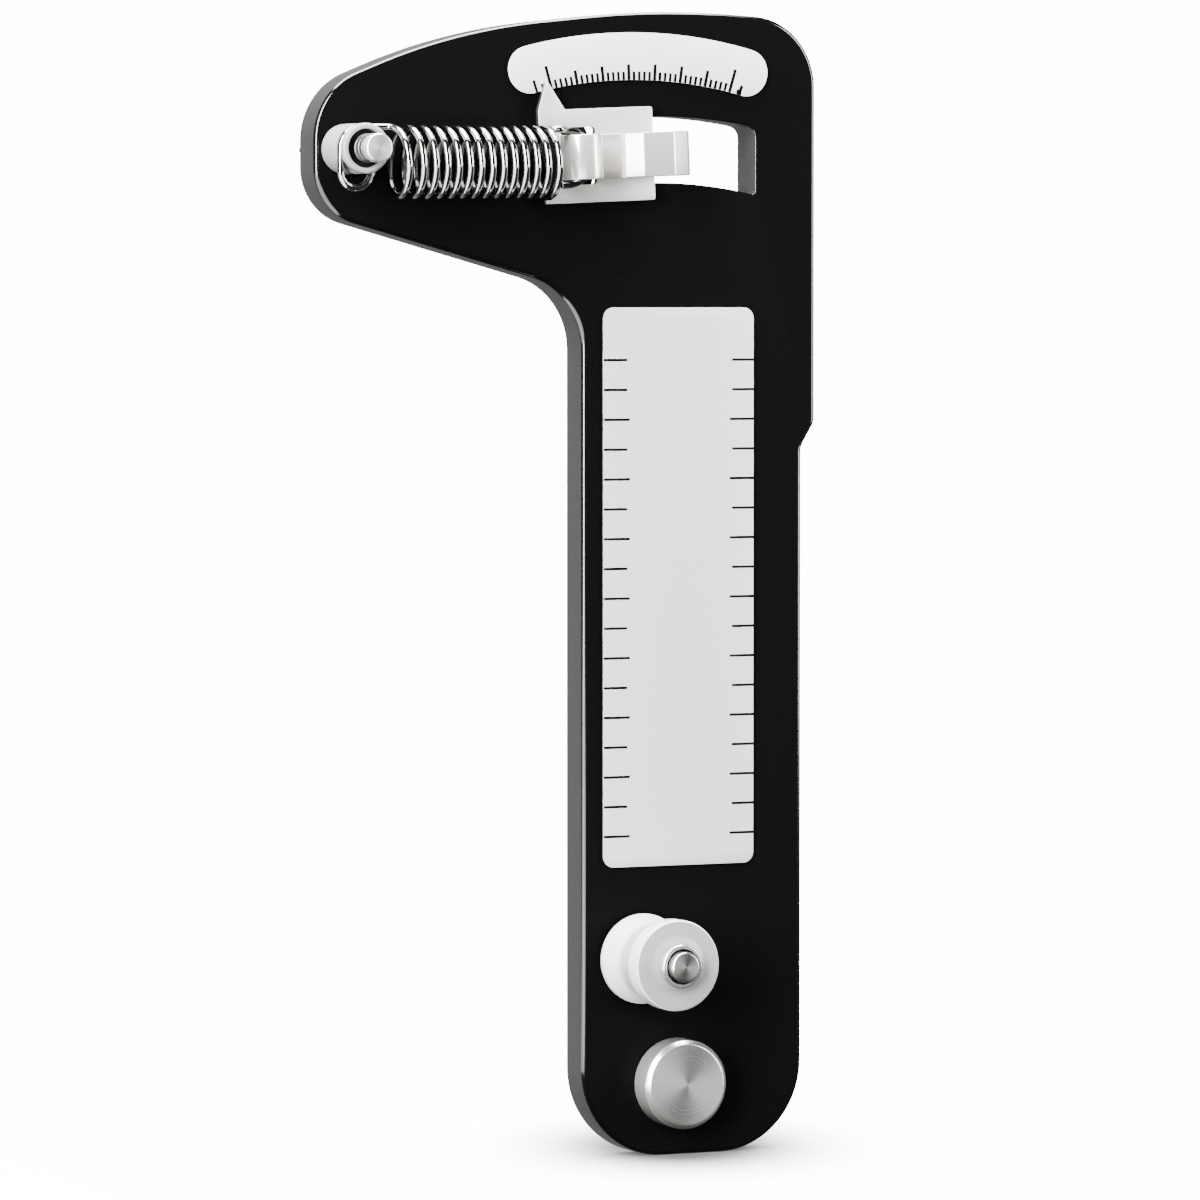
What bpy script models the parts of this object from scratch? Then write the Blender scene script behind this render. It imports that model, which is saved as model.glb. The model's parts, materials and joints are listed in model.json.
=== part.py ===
"""Rigging tension gauge, standing upright with its front face towards -Y.

A stay wire runs up the front of a flat plate body. It bends round a plastic sheave and a steel post
at the foot, and a sprung hook on a slider pulls it sideways at the head. The slider swings along an
arc window, and its pointer reads the pull on a curved scale.

Places are given on the front face of the body: u to the right of the stem's datum, z up from the
foot, and depth, how far a point stands proud of the front face. Metres throughout.
"""
import math

import bmesh
import bpy
from mathutils import Vector

# Clearances and facets
GAP = 0.0003
RUNNING_GAP = 0.0005
CHORD_ERROR = 0.00003
MERGE_DISTANCE = 0.000001
ROUNDED_SIDE_SHARE = 0.96

# Body: one flat plate, a stem below and an arm to the left
BODY_THICKNESS = 0.0100
BODY_HEIGHT = 0.2758
STEM_LEFT = -0.0296
STEM_RIGHT = 0.0292
HEAD_RIGHT = 0.0328
ARM_TIP = -0.09895
FOOT_RADIUS = 0.0215
STEP_DROP = 0.1048
STEP_HEIGHT = 0.0060
STEP_RADIUS = 0.0045
ARM_ROOT_DROP = 0.0673
ARM_ROOT_RADIUS = 0.0179
ARM_TIP_DROP = 0.0483
ARM_TIP_RADIUS = 0.0138
CREST_FALL = 0.0198
BODY_CHAMFER = 0.0008

# Crest corners from right to left: across the head, fall of the crest, radius over the head's width
crest_shares = (
    (1.000, 0.077, 0.129),
    (0.681, -0.040, 1.820),
    (0.355, 0.194, 1.250),
    (0.192, 0.480, 1.140),
    (0.000, 1.000, 0.133),
)

# Slider's arc: the centre that the guide block swings round
PIVOT_U = -0.0092
GUIDE_RADIUS = 0.1300
GUIDE_DROP = 0.0330
WINDOW_HEIGHT = 0.0159
WINDOW_LEFT_U = -0.03866
WINDOW_RIGHT_U = 0.0164
WINDOW_RADIUS = 0.0030
WINDOW_LOW_RADIUS = 0.0008

# Guide block, keeper and the screws that hold the slider together
BLOCK_WIDTH = 0.0090
BLOCK_RADIUS = 0.0030
FLANGE_LAP = 0.0015
FLANGE_THICKNESS = 0.0007
KEEPER_LAP = 0.0036
KEEPER_WIDTH = 0.0200
KEEPER_THICKNESS = 0.0012
KEEPER_RADIUS = 0.0020
SLIDER_SCREW_RADIUS = 0.0010
SLIDER_SCREW_SPACING = 0.0044
SLIDER_SCREW_HEAD_RADIUS = 0.0019
SLIDER_SCREW_HEAD_HEIGHT = 0.0015
SLIDER_CHAMFER = 0.0002

# Thin printed plates
SHEET_THICKNESS = 0.0005
SCALE_CENTRE_U = -0.0150
SCALE_DROP = 0.00505
SCALE_INNER_RADIUS = 0.1111
SCALE_BAND = 0.01135
SCALE_HALF_WIDTH = 0.03460
SCALE_LOBE_SHARE = 0.493
CHART_LEFT = -0.0244
CHART_WIDTH = 0.0401
CHART_BOTTOM = 0.0703
CHART_HEIGHT_SHARE = 0.488
CHART_RADIUS = 0.0027

# Slider plate with its pointer, tilted a little to the left at rest
SLIDER_THICKNESS = 0.0015
SLIDER_FROM_BLOCK = (0.00697, 0.00083)
SLIDER_TILT = math.radians(2.5)
SLIDER_WIDTH = 0.0300
SLIDER_HEIGHT = 0.0224
SLIDER_CORNER_RADIUS = 0.0006
POINTER_RISE = 0.0072
POINTER_TIP_RADIUS = 0.0004
NOTCH_RADIUS = 0.0154

# Slider outline: across its half width and up its half height, then the notch for the coil
POINTER_TIP_SHARE = -0.831
POINTER_ROOT_SHARE = -0.533
LOWER_LEFT_SHARE = -0.955
NOTCH_TOP_SHARE = 0.655
NOTCH_ROOT_SHARE = -0.783
NOTCH_DEEP_SHARES = (-0.443, -0.208)

# Hook strip: an eye for the spring, a flat foot and a hook for the wire
STRIP_THICKNESS = 0.0015
STRIP_WIDTH = 0.0107
STRIP_UP = -0.0003
STRIP_CHAMFER = 0.0002
EYE_ACROSS = -0.0064
EYE_RADIUS = 0.0036
TONGUE_REACH = 0.0063
TONGUE_TIP_RADIUS = 0.0066
TONGUE_PULL = 0.0022
CROWN_PULL = 0.0048
HOOK_ACROSS = 0.0204
HOOK_HEIGHT = 0.0085
HOOK_LOW_CORNER = (0.0034, 0.0029)
HOOK_LOW_RADIUS = 0.0017
HOOK_HIGH_CORNER = (0.0003, 0.0019)
HOOK_HIGH_RADIUS = 0.0012
LIP_FOLD_ACROSS = 0.0154
FLARE_FOLD_ACROSS = 0.0074
FOLD_RADIUS = 0.0009
FLARE_LENGTH = 0.0057
FLARE_RISE = 0.0017
HOOK_RIVET_RADIUS = 0.0015
HOOK_RIVET_ACROSS = (0.0062, 0.0118)

# Slots beside the eye, clear of the spring's hook
SLOT_ACROSS = -0.0049
SLOT_UP = 0.00585
SLOT_LENGTH = 0.0090
SLOT_HEIGHT = 0.0020

# Extension spring
WIRE_RADIUS = 0.00083
COIL_RADIUS = 0.00805
COIL_TURNS = 14
COIL_START_U = -0.0864
COIL_END_U = -0.0408
OPEN_TURN_SHARE = 0.04
COIL_DROP = 0.0367
COIL_DEPTH = 0.0122
LEG_BEND_RADIUS = 0.0020
LOOP_RADIUS = 0.0054
LOOP_FOOT_RADIUS = 0.0039
LOOP_HEIGHT = 0.0143
LOOP_LEFT_U = -0.0978
LOOP_END_ANGLE = math.radians(-25)
LOOP_DEPTH_RISE = 0.0008
EYE_HOOK_RADIUS = 0.00655
POINTS_PER_TURN = 10
POINTS_PER_BEND = 5
POINTS_PER_LOOP = 14

# Spring anchor at the arm's tip
ANCHOR_U = -0.0925
ANCHOR_DROP = 0.0337
ANCHOR_BUSH_RADIUS = 0.0059
ANCHOR_BUSH_FRONT = 0.0162
ANCHOR_BUSH_REAR_ROUND = 0.0016
ANCHOR_GROOVE_BACK = 0.0111
ANCHOR_GROOVE_FRONT = 0.0142
ANCHOR_NECK_RADIUS = 0.0024
ANCHOR_RECESS_RADIUS = 0.0046
ANCHOR_RECESS_DEPTH = 0.0016
ANCHOR_HEAD_RADIUS = 0.0034
ANCHOR_HEAD_FRONT = 0.0240
ANCHOR_COLLAR_LENGTH = 0.0012
ANCHOR_RELIEF = 0.0004
ANCHOR_THREAD_RADIUS = 0.0020
ANCHOR_WASHER_RADIUS = 0.0050

# Sheave that the wire bends round
SHEAVE_U = -0.0148
SHEAVE_Z = 0.0482
SHEAVE_RADIUS = 0.0109
SHEAVE_GROOVE_RADIUS = 0.0086
SHEAVE_FRONT = 0.0224
SHEAVE_REAR_RIM = 0.0018
SHEAVE_FRONT_RIM = 0.0048
SHEAVE_GROOVE_WIDTH = 0.0014
SHEAVE_CHAMFER = 0.0004
SHEAVE_HUB_RADIUS = 0.0053
SHEAVE_HUB_RISE = 0.0006
SHEAVE_AXLE_RADIUS = 0.0030
SHEAVE_THREAD_RADIUS = 0.0025
SHEAVE_HEAD_RADIUS = 0.00365
SHEAVE_HEAD_FRONT = 0.0269
SHEAVE_WASHER_RADIUS = 0.0060
BUSH_WALL = 0.0012
BUSH_FLANGE_THICKNESS = 0.0017
BUSH_RECESS_DEPTH = 0.0011

# Steel post at the foot
POST_U = -0.0052
POST_Z = 0.0177
POST_RADIUS = 0.0108
POST_HEIGHT = 0.0072
POST_CHAMFER = 0.0011
POST_SCREW_RADIUS = 0.0025
POST_SCREW_REACH = 0.0050
POST_SCREW_HEAD_RADIUS = 0.0045
POST_SCREW_HEAD_HEIGHT = 0.0026

# Nuts and washers behind the body
WASHER_THICKNESS = 0.0008
REAR_WASHER_RADIUS = 0.0052
NUT_FLATS = 0.0080
NUT_HEIGHT = 0.0032
NUT_CHAMFER = 0.0003
STUD_END = 0.0008
PIN_CHAMFER = 0.0004

# Depths that follow from the stack of pieces
SHEET_FRONT = GAP + SHEET_THICKNESS
FLANGE_FRONT = GAP + FLANGE_THICKNESS
SLIDER_BACK = SHEET_FRONT + RUNNING_GAP
SLIDER_FRONT = SLIDER_BACK + SLIDER_THICKNESS
STRIP_BACK = SLIDER_FRONT + GAP
STRIP_MIDDLE = STRIP_BACK + STRIP_THICKNESS / 2
BODY_BACK = -BODY_THICKNESS
BLOCK_BACK = BODY_BACK - GAP
KEEPER_FRONT = BLOCK_BACK - GAP
KEEPER_BACK = KEEPER_FRONT - KEEPER_THICKNESS
REAR_WASHER_FRONT = BODY_BACK - GAP
REAR_WASHER_BACK = REAR_WASHER_FRONT - WASHER_THICKNESS
NUT_FRONT = REAR_WASHER_BACK - GAP
NUT_BACK = NUT_FRONT - NUT_HEIGHT
STUD_BACK = NUT_BACK - STUD_END
WASHER_FRONT = GAP + WASHER_THICKNESS
BUSH_BACK = WASHER_FRONT + GAP

# Places that follow from the body's height and the guide's arc
STEP_LOW_Z = BODY_HEIGHT - STEP_DROP
STEP_HIGH_Z = STEP_LOW_Z + STEP_HEIGHT
ARM_ROOT_Z = BODY_HEIGHT - ARM_ROOT_DROP
ARM_TIP_LOW_Z = BODY_HEIGHT - ARM_TIP_DROP
PIVOT_Z = BODY_HEIGHT - GUIDE_DROP - GUIDE_RADIUS
GUIDE_TOP_RADIUS = GUIDE_RADIUS + WINDOW_HEIGHT / 2
WINDOW_LEFT_ANGLE = math.asin((WINDOW_LEFT_U - PIVOT_U) / GUIDE_RADIUS)
WINDOW_RIGHT_ANGLE = math.asin((WINDOW_RIGHT_U - PIVOT_U - RUNNING_GAP) / GUIDE_TOP_RADIUS)
BLOCK_ANGLE = BLOCK_WIDTH / GUIDE_RADIUS
BLOCK_LEFT_ANGLE = WINDOW_LEFT_ANGLE + GAP / GUIDE_RADIUS
BLOCK_MIDDLE_ANGLE = BLOCK_LEFT_ANGLE + BLOCK_ANGLE / 2
TRAVEL_ANGLE = WINDOW_RIGHT_ANGLE - BLOCK_LEFT_ANGLE - BLOCK_ANGLE
SLIDER_U = PIVOT_U + GUIDE_RADIUS * math.sin(BLOCK_MIDDLE_ANGLE) + SLIDER_FROM_BLOCK[0]
SLIDER_Z = PIVOT_Z + GUIDE_RADIUS * math.cos(BLOCK_MIDDLE_ANGLE) + SLIDER_FROM_BLOCK[1]
SCALE_OUTER_RADIUS = SCALE_INNER_RADIUS + SCALE_BAND
SCALE_CENTRE_Z = BODY_HEIGHT - SCALE_DROP - SCALE_OUTER_RADIUS
SCALE_HALF_ANGLE = SCALE_HALF_WIDTH * 2 / (SCALE_INNER_RADIUS + SCALE_OUTER_RADIUS)
SCALE_END_RADIUS = SCALE_BAND * SCALE_LOBE_SHARE
CHART_HEIGHT = BODY_HEIGHT * CHART_HEIGHT_SHARE
COIL_Z = BODY_HEIGHT - COIL_DROP
ANCHOR_Z = BODY_HEIGHT - ANCHOR_DROP

# The row's origin: below the middle of the whole gauge
ORIGIN_U = (ARM_TIP + HEAD_RIGHT) / 2
ORIGIN_DEPTH = (SHEAVE_HEAD_FRONT + STUD_BACK) / 2

HALF_TURN = math.pi
FULL_TURN = 2 * math.pi


def place(u, depth, z):
    """World place of a point on the gauge."""
    return Vector((u - ORIGIN_U, ORIGIN_DEPTH - depth, z))


def arc_steps(radius, angle):
    """How many straight facets keep an arc within the chord error."""
    step = 2 * math.acos(1 - min(CHORD_ERROR / radius, 0.5))
    return max(2, math.ceil(abs(angle) / step))


def corner_arc(before, here, after):
    """Points of the arc that rounds one corner, each corner given as (u, z, radius).

    The arc is made smaller where a side beside the corner is too short for it.
    """
    corner = Vector(here[:2])
    if here[2] == 0:
        return [corner]
    side_before = Vector(before[:2]) - corner
    side_after = Vector(after[:2]) - corner
    to_before = side_before.normalized()
    to_after = side_after.normalized()
    turn = HALF_TURN - to_before.angle(to_after)
    room = ROUNDED_SIDE_SHARE * min(side_before.length, side_after.length)
    tangent = min(here[2] * math.tan(turn / 2), room)
    radius = tangent / math.tan(turn / 2)
    middle = (to_before + to_after).normalized()
    centre = corner + middle * radius / math.cos(turn / 2)
    start = corner + to_before * tangent - centre
    side = 1 if to_before.x * to_after.y - to_before.y * to_after.x < 0 else -1
    steps = arc_steps(radius, turn)
    return [centre + turned(start, side * turn * step / steps) for step in range(steps + 1)]


def rounded(corners):
    """Points of a closed outline whose corners are rounded by arcs."""
    points = []
    for index, here in enumerate(corners):
        points += corner_arc(corners[index - 1], here, corners[(index + 1) % len(corners)])
    return points


def bent(corners):
    """Points of an open line whose inner corners are rounded by arcs."""
    points = [Vector(corners[0][:2])]
    for before, here, after in zip(corners, corners[1:], corners[2:]):
        points += corner_arc(before, here, after)
    return points + [Vector(corners[-1][:2])]


def turned(vector, angle):
    """A flat vector turned anticlockwise."""
    cosine = math.cos(angle)
    sine = math.sin(angle)
    return Vector((vector.x * cosine - vector.y * sine, vector.x * sine + vector.y * cosine))


def circle(u, z, radius):
    """A hole's outline, clockwise so that the material is on its left."""
    steps = arc_steps(radius, FULL_TURN)
    return [
        Vector((u + radius * math.cos(angle), z + radius * math.sin(angle)))
        for angle in (-FULL_TURN * step / steps for step in range(steps))
    ]


def on_arc(centre_u, centre_z, radius, angle):
    """A point on an arc, its angle measured from straight up towards the right."""
    return centre_u + radius * math.sin(angle), centre_z + radius * math.cos(angle)


def band_corners(centre, radii, left_angles, right_angles, corner_radii, clear_share=1.06):
    """Corners of a curved band, anticlockwise from its lower left, for rounded().

    The arcs' own points keep clear of each end corner by a share of its radius.
    """
    corners = []
    low_left, low_right, high_right, high_left = corner_radii
    rows = (
        (radii[0], left_angles[0], right_angles[0], low_left, low_right),
        (radii[1], right_angles[1], left_angles[1], high_right, high_left),
    )
    for radius, start, end, start_radius, end_radius in rows:
        way = math.copysign(clear_share / radius, end - start)
        first = start + way * start_radius
        last = end - way * end_radius
        steps = arc_steps(radius, last - first)
        corners.append((*on_arc(*centre, radius, start), start_radius))
        for step in range(steps + 1):
            angle = first + (last - first) * step / steps
            corners.append((*on_arc(*centre, radius, angle), 0))
        corners.append((*on_arc(*centre, radius, end), end_radius))
    return corners


def offset(loop, distance):
    """The loop moved to its left, into the material, with mitred corners."""
    moved = []
    for index, here in enumerate(loop):
        before = (here - loop[index - 1]).normalized()
        after = (loop[(index + 1) % len(loop)] - here).normalized()
        along = (before + after).normalized()
        normal = Vector((-along.y, along.x))
        reach = normal.dot(Vector((-before.y, before.x)))
        moved.append(here + normal * distance / reach)
    return moved


def slab(loops, origin):
    """A flat piece: each loop has points and a profile of (depth, inset) from back to front."""
    mesh = bmesh.new()
    rims = ([], [])
    for points, profile in loops:
        rings = []
        for depth, inset in profile:
            ring = [
                mesh.verts.new((point.x - origin[0], -depth, point.y - origin[1]))
                for point in offset(points, inset)
            ]
            rings.append(ring)
        for low, high in zip(rings, rings[1:]):
            for index in range(len(low)):
                mesh.faces.new((low[index - 1], low[index], high[index], high[index - 1]))
        for rim, ring in zip(rims, (rings[0], rings[-1])):
            rim.extend(mesh.edges.get((ring[index - 1], ring[index])) for index in range(len(ring)))
    for rim in rims:
        bmesh.ops.triangle_fill(mesh, use_beauty=True, edges=rim)
    bmesh.ops.recalc_face_normals(mesh, faces=mesh.faces)
    return mesh


def edge_profile(back, front, chamfer):
    """Straight sides with both rims chamfered."""
    return ((back, chamfer), (back + chamfer, 0), (front - chamfer, 0), (front, chamfer))


def hole_profile(back, front):
    """A plain hole right through."""
    return ((back, 0), (front, 0))


def lathe(profile, closed=False):
    """A turned piece about the depth axis, from a profile of (radius, depth)."""
    mesh = bmesh.new()
    verts = [mesh.verts.new((radius, -depth, 0)) for radius, depth in profile]
    edges = [mesh.edges.new(pair) for pair in zip(verts, verts[1:])]
    if closed:
        edges.append(mesh.edges.new((verts[-1], verts[0])))
    widest = max(radius for radius, depth in profile)
    bmesh.ops.spin(
        mesh, geom=verts + edges, cent=(0, 0, 0), axis=(0, 1, 0), angle=FULL_TURN,
        steps=arc_steps(widest, FULL_TURN), use_merge=True,
    )
    bmesh.ops.remove_doubles(mesh, verts=mesh.verts, dist=MERGE_DISTANCE)
    bmesh.ops.recalc_face_normals(mesh, faces=mesh.faces)
    return mesh


def material(name, colour, roughness, metallic):
    """A plain Principled BSDF."""
    made = bpy.data.materials.new(name)
    made.use_nodes = True
    shader = made.node_tree.nodes["Principled BSDF"]
    shader.inputs["Base Color"].default_value = (*colour, 1)
    shader.inputs["Roughness"].default_value = roughness
    shader.inputs["Metallic"].default_value = metallic
    return made


def add(name, mesh, finish, location, parent=None, smooth_angle=math.radians(35)):
    """Links one piece into the scene under its name."""
    data = bpy.data.meshes.new(name)
    mesh.to_mesh(data)
    mesh.free()
    data.materials.append(material(name, *finish))
    data.shade_smooth()
    data.set_sharp_from_angle(angle=smooth_angle)
    piece = bpy.data.objects.new(name, data)
    piece.location = location
    piece.parent = parent
    bpy.context.collection.objects.link(piece)
    return piece


def empty(name, location):
    """A joint axis to hang moving pieces on."""
    made = bpy.data.objects.new(name, None)
    made.location = location
    bpy.context.collection.objects.link(made)
    return made


def cut(piece, cutter):
    """Cuts a hidden tool out of a piece."""
    cutter.hide_render = True
    cutter.display_type = "WIRE"
    tool = piece.modifiers.new("cut_" + cutter.name, "BOOLEAN")
    tool.operation = "DIFFERENCE"
    tool.solver = "EXACT"
    tool.object = cutter


BLACK_ANODISED = ((0.012, 0.012, 0.013), 0.42, 0.0)
BRIGHT_SHEET = ((0.80, 0.79, 0.77), 0.34, 1.0)
STAINLESS = ((0.72, 0.71, 0.69), 0.26, 1.0)
TURNED_STEEL = ((0.62, 0.61, 0.59), 0.24, 1.0)
ZINC_STEEL = ((0.48, 0.48, 0.47), 0.35, 1.0)
SPRING_STEEL = ((0.55, 0.54, 0.53), 0.18, 1.0)
WHITE_ACETAL = ((0.83, 0.82, 0.80), 0.38, 0.0)
BLACK_ACETAL = ((0.02, 0.02, 0.02), 0.45, 0.0)


def clear_scene():
    """Starts from nothing."""
    for old in list(bpy.data.objects):
        bpy.data.objects.remove(old, do_unlink=True)


def body_outline():
    """The stem, the step up its right edge, the crest and the arm, anticlockwise."""
    span = HEAD_RIGHT - ARM_TIP
    corners = [
        (STEM_LEFT, 0, FOOT_RADIUS),
        (STEM_RIGHT, 0, FOOT_RADIUS),
        (STEM_RIGHT, STEP_LOW_Z, STEP_RADIUS),
        (HEAD_RIGHT, STEP_HIGH_Z, STEP_RADIUS),
    ]
    for across, fall, radius in crest_shares:
        corners.append((ARM_TIP + span * across, BODY_HEIGHT - CREST_FALL * fall, span * radius))
    corners.append((ARM_TIP, ARM_TIP_LOW_Z, ARM_TIP_RADIUS))
    corners.append((STEM_LEFT, ARM_ROOT_Z, ARM_ROOT_RADIUS))
    return rounded(corners)


def window_outline():
    """The arc window: its ends are a radial line on the left and an upright one on the right."""
    radii = (GUIDE_RADIUS - WINDOW_HEIGHT / 2, GUIDE_RADIUS + WINDOW_HEIGHT / 2)
    ends = [math.asin((WINDOW_RIGHT_U - PIVOT_U) / radius) for radius in radii]
    starts = (WINDOW_LEFT_ANGLE, WINDOW_LEFT_ANGLE)
    turns = (WINDOW_RADIUS, WINDOW_LOW_RADIUS, WINDOW_RADIUS, WINDOW_RADIUS)
    corners = band_corners((PIVOT_U, PIVOT_Z), radii, starts, ends, turns, clear_share=1.3)
    return rounded(corners)[::-1]


def make_body():
    """The plate, its window and the three fixing holes."""
    origin = (STEM_LEFT, 0)
    holes = (
        (ANCHOR_U, ANCHOR_Z, ANCHOR_THREAD_RADIUS + GAP),
        (SHEAVE_U, SHEAVE_Z, SHEAVE_THREAD_RADIUS + GAP),
        (POST_U, POST_Z, POST_SCREW_RADIUS + GAP),
    )
    edge = edge_profile(BODY_BACK, 0, BODY_CHAMFER)
    loops = [(body_outline(), edge), (window_outline(), edge)]
    for u, z, radius in holes:
        loops.append((circle(u, z, radius), hole_profile(BODY_BACK, 0)))
    add("body_plate", slab(loops, origin), BLACK_ANODISED, place(origin[0], 0, origin[1]))


def make_sheets():
    """The curved scale above the window and the long chart on the stem, both bare sheet."""
    radii = (SCALE_INNER_RADIUS, SCALE_OUTER_RADIUS)
    ends = (SCALE_HALF_ANGLE, SCALE_HALF_ANGLE)
    starts = (-SCALE_HALF_ANGLE, -SCALE_HALF_ANGLE)
    centre = (SCALE_CENTRE_U, SCALE_CENTRE_Z)
    scale = rounded(band_corners(centre, radii, starts, ends, (SCALE_END_RADIUS,) * 4))
    flat = hole_profile(GAP, SHEET_FRONT)
    add("tension_scale_plate", slab([(scale, flat)], centre), BRIGHT_SHEET, place(centre[0], 0, centre[1]))
    right = CHART_LEFT + CHART_WIDTH
    top = CHART_BOTTOM + CHART_HEIGHT
    chart = rounded((
        (CHART_LEFT, CHART_BOTTOM, CHART_RADIUS),
        (right, CHART_BOTTOM, CHART_RADIUS),
        (right, top, CHART_RADIUS),
        (CHART_LEFT, top, CHART_RADIUS),
    ))
    corner = (CHART_LEFT, CHART_BOTTOM)
    add("conversion_chart_plate", slab([(chart, flat)], corner), BRIGHT_SHEET, place(corner[0], 0, corner[1]))


def on_slider(across, up):
    """A place on the tilted slider, as u and z."""
    moved = turned(Vector((across, up)), SLIDER_TILT)
    return SLIDER_U + moved.x, SLIDER_Z + moved.y


def slider_screws():
    """Places of the two screws, one above the other in the middle of the guide block."""
    half = SLIDER_SCREW_SPACING / 2
    return [on_arc(PIVOT_U, PIVOT_Z, GUIDE_RADIUS + side * half, BLOCK_MIDDLE_ANGLE) for side in (-1, 1)]


def hook_rivets():
    """Places of the rivets that hold the hook strip to the slider."""
    return [on_slider(across, STRIP_UP) for across in HOOK_RIVET_ACROSS]


def slot_outline(across, up):
    """One slot beside the eye, clockwise."""
    half_length = SLOT_LENGTH / 2
    half_height = SLOT_HEIGHT / 2
    end = SLOT_HEIGHT / 2.2
    corners = []
    for side_u, side_z in ((-1, -1), (1, -1), (1, 1), (-1, 1)):
        corners.append((*on_slider(across + side_u * half_length, up + side_z * half_height), end))
    return rounded(corners)[::-1]


def make_pointer_plate(pivot, origin):
    """The slider's flat plate, with a pointer at its upper left and slots beside the eye."""
    half_width = SLIDER_WIDTH / 2
    half_height = SLIDER_HEIGHT / 2
    corner = SLIDER_CORNER_RADIUS
    notch_top = NOTCH_TOP_SHARE * half_height
    deep = (NOTCH_DEEP_SHARES[0] * half_width, NOTCH_DEEP_SHARES[1] * half_height)
    shape = (
        (LOWER_LEFT_SHARE * half_width, -half_height, POINTER_TIP_RADIUS),
        (half_width, -half_height, corner),
        (half_width, half_height, corner),
        (POINTER_ROOT_SHARE * half_width, half_height, corner),
        (POINTER_TIP_SHARE * half_width, half_height + POINTER_RISE, POINTER_TIP_RADIUS),
        (-half_width, half_height, corner),
        (-half_width, notch_top, corner),
        (NOTCH_ROOT_SHARE * half_width, notch_top, corner),
        (*deep, NOTCH_RADIUS),
    )
    outline = rounded([(*on_slider(across, up), radius) for across, up, radius in shape])
    through = hole_profile(SLIDER_BACK, SLIDER_FRONT)
    loops = [(outline, edge_profile(SLIDER_BACK, SLIDER_FRONT, SLIDER_CHAMFER))]
    for up in (SLOT_UP, -SLOT_UP):
        loops.append((slot_outline(SLOT_ACROSS, up), through))
    for u, z in slider_screws():
        loops.append((circle(u, z, SLIDER_SCREW_RADIUS + GAP), through))
    for u, z in hook_rivets():
        loops.append((circle(u, z, HOOK_RIVET_RADIUS + GAP), through))
    add("pointer_plate", slab(loops, origin), STAINLESS, Vector(), pivot)


def make_guide(pivot, origin):
    """The block in the window, the keeper behind it and two screws from the rear."""
    lap_angle = FLANGE_LAP / GUIDE_RADIUS
    half_height = WINDOW_HEIGHT / 2 - GAP + FLANGE_LAP
    radii = (GUIDE_RADIUS - half_height, GUIDE_RADIUS + half_height)
    starts = (BLOCK_LEFT_ANGLE - lap_angle,) * 2
    ends = (BLOCK_LEFT_ANGLE + BLOCK_ANGLE + lap_angle,) * 2
    turns = (BLOCK_RADIUS + FLANGE_LAP,) * 4
    outline = rounded(band_corners((PIVOT_U, PIVOT_Z), radii, starts, ends, turns))
    profile = ((BLOCK_BACK, FLANGE_LAP), (GAP, FLANGE_LAP), (GAP, 0), (FLANGE_FRONT, 0))
    loops = [(outline, profile)]
    for u, z in slider_screws():
        hole = circle(u, z, SLIDER_SCREW_RADIUS + GAP)
        loops.append((hole, hole_profile(BLOCK_BACK, FLANGE_FRONT)))
    add("guide_block", slab(loops, origin), BLACK_ACETAL, Vector(), pivot)

    keeper_angle = KEEPER_WIDTH / GUIDE_RADIUS / 2
    keeper_half = WINDOW_HEIGHT / 2 + KEEPER_LAP
    radii = (GUIDE_RADIUS - keeper_half, GUIDE_RADIUS + keeper_half)
    starts = (BLOCK_MIDDLE_ANGLE - keeper_angle,) * 2
    ends = (BLOCK_MIDDLE_ANGLE + keeper_angle,) * 2
    turns = (KEEPER_RADIUS,) * 4
    outline = rounded(band_corners((PIVOT_U, PIVOT_Z), radii, starts, ends, turns))
    loops = [(outline, edge_profile(KEEPER_BACK, KEEPER_FRONT, SLIDER_CHAMFER))]
    for u, z in slider_screws():
        hole = circle(u, z, SLIDER_SCREW_RADIUS + GAP)
        loops.append((hole, hole_profile(KEEPER_BACK, KEEPER_FRONT)))
    add("keeper_plate", slab(loops, origin), STAINLESS, Vector(), pivot)

    head_front = KEEPER_BACK - GAP
    head_back = head_front - SLIDER_SCREW_HEAD_HEIGHT
    profile = (
        (0, SLIDER_FRONT - GAP),
        (SLIDER_SCREW_RADIUS, SLIDER_FRONT - GAP),
        (SLIDER_SCREW_RADIUS, head_front),
        (SLIDER_SCREW_HEAD_RADIUS, head_front),
        (SLIDER_SCREW_HEAD_RADIUS, head_back + PIN_CHAMFER),
        (SLIDER_SCREW_HEAD_RADIUS - PIN_CHAMFER, head_back),
        (0, head_back),
    )
    for name, (u, z) in zip(("slider_screw_lower", "slider_screw_upper"), slider_screws()):
        add(name, lathe(profile), ZINC_STEEL, Vector((u - PIVOT_U, 0, z - PIVOT_Z)), pivot)


def s_curve(start, start_pull, end_pull, end, steps):
    """Points of a smooth curve that leaves and arrives along its two pulls, without its end."""
    points = []
    for step in range(steps):
        share = step / steps
        rest = 1 - share
        point = start * rest ** 3 + start_pull * 3 * share * rest ** 2
        points.append(point + end_pull * 3 * share ** 2 * rest + end * share ** 3)
    return points


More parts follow.
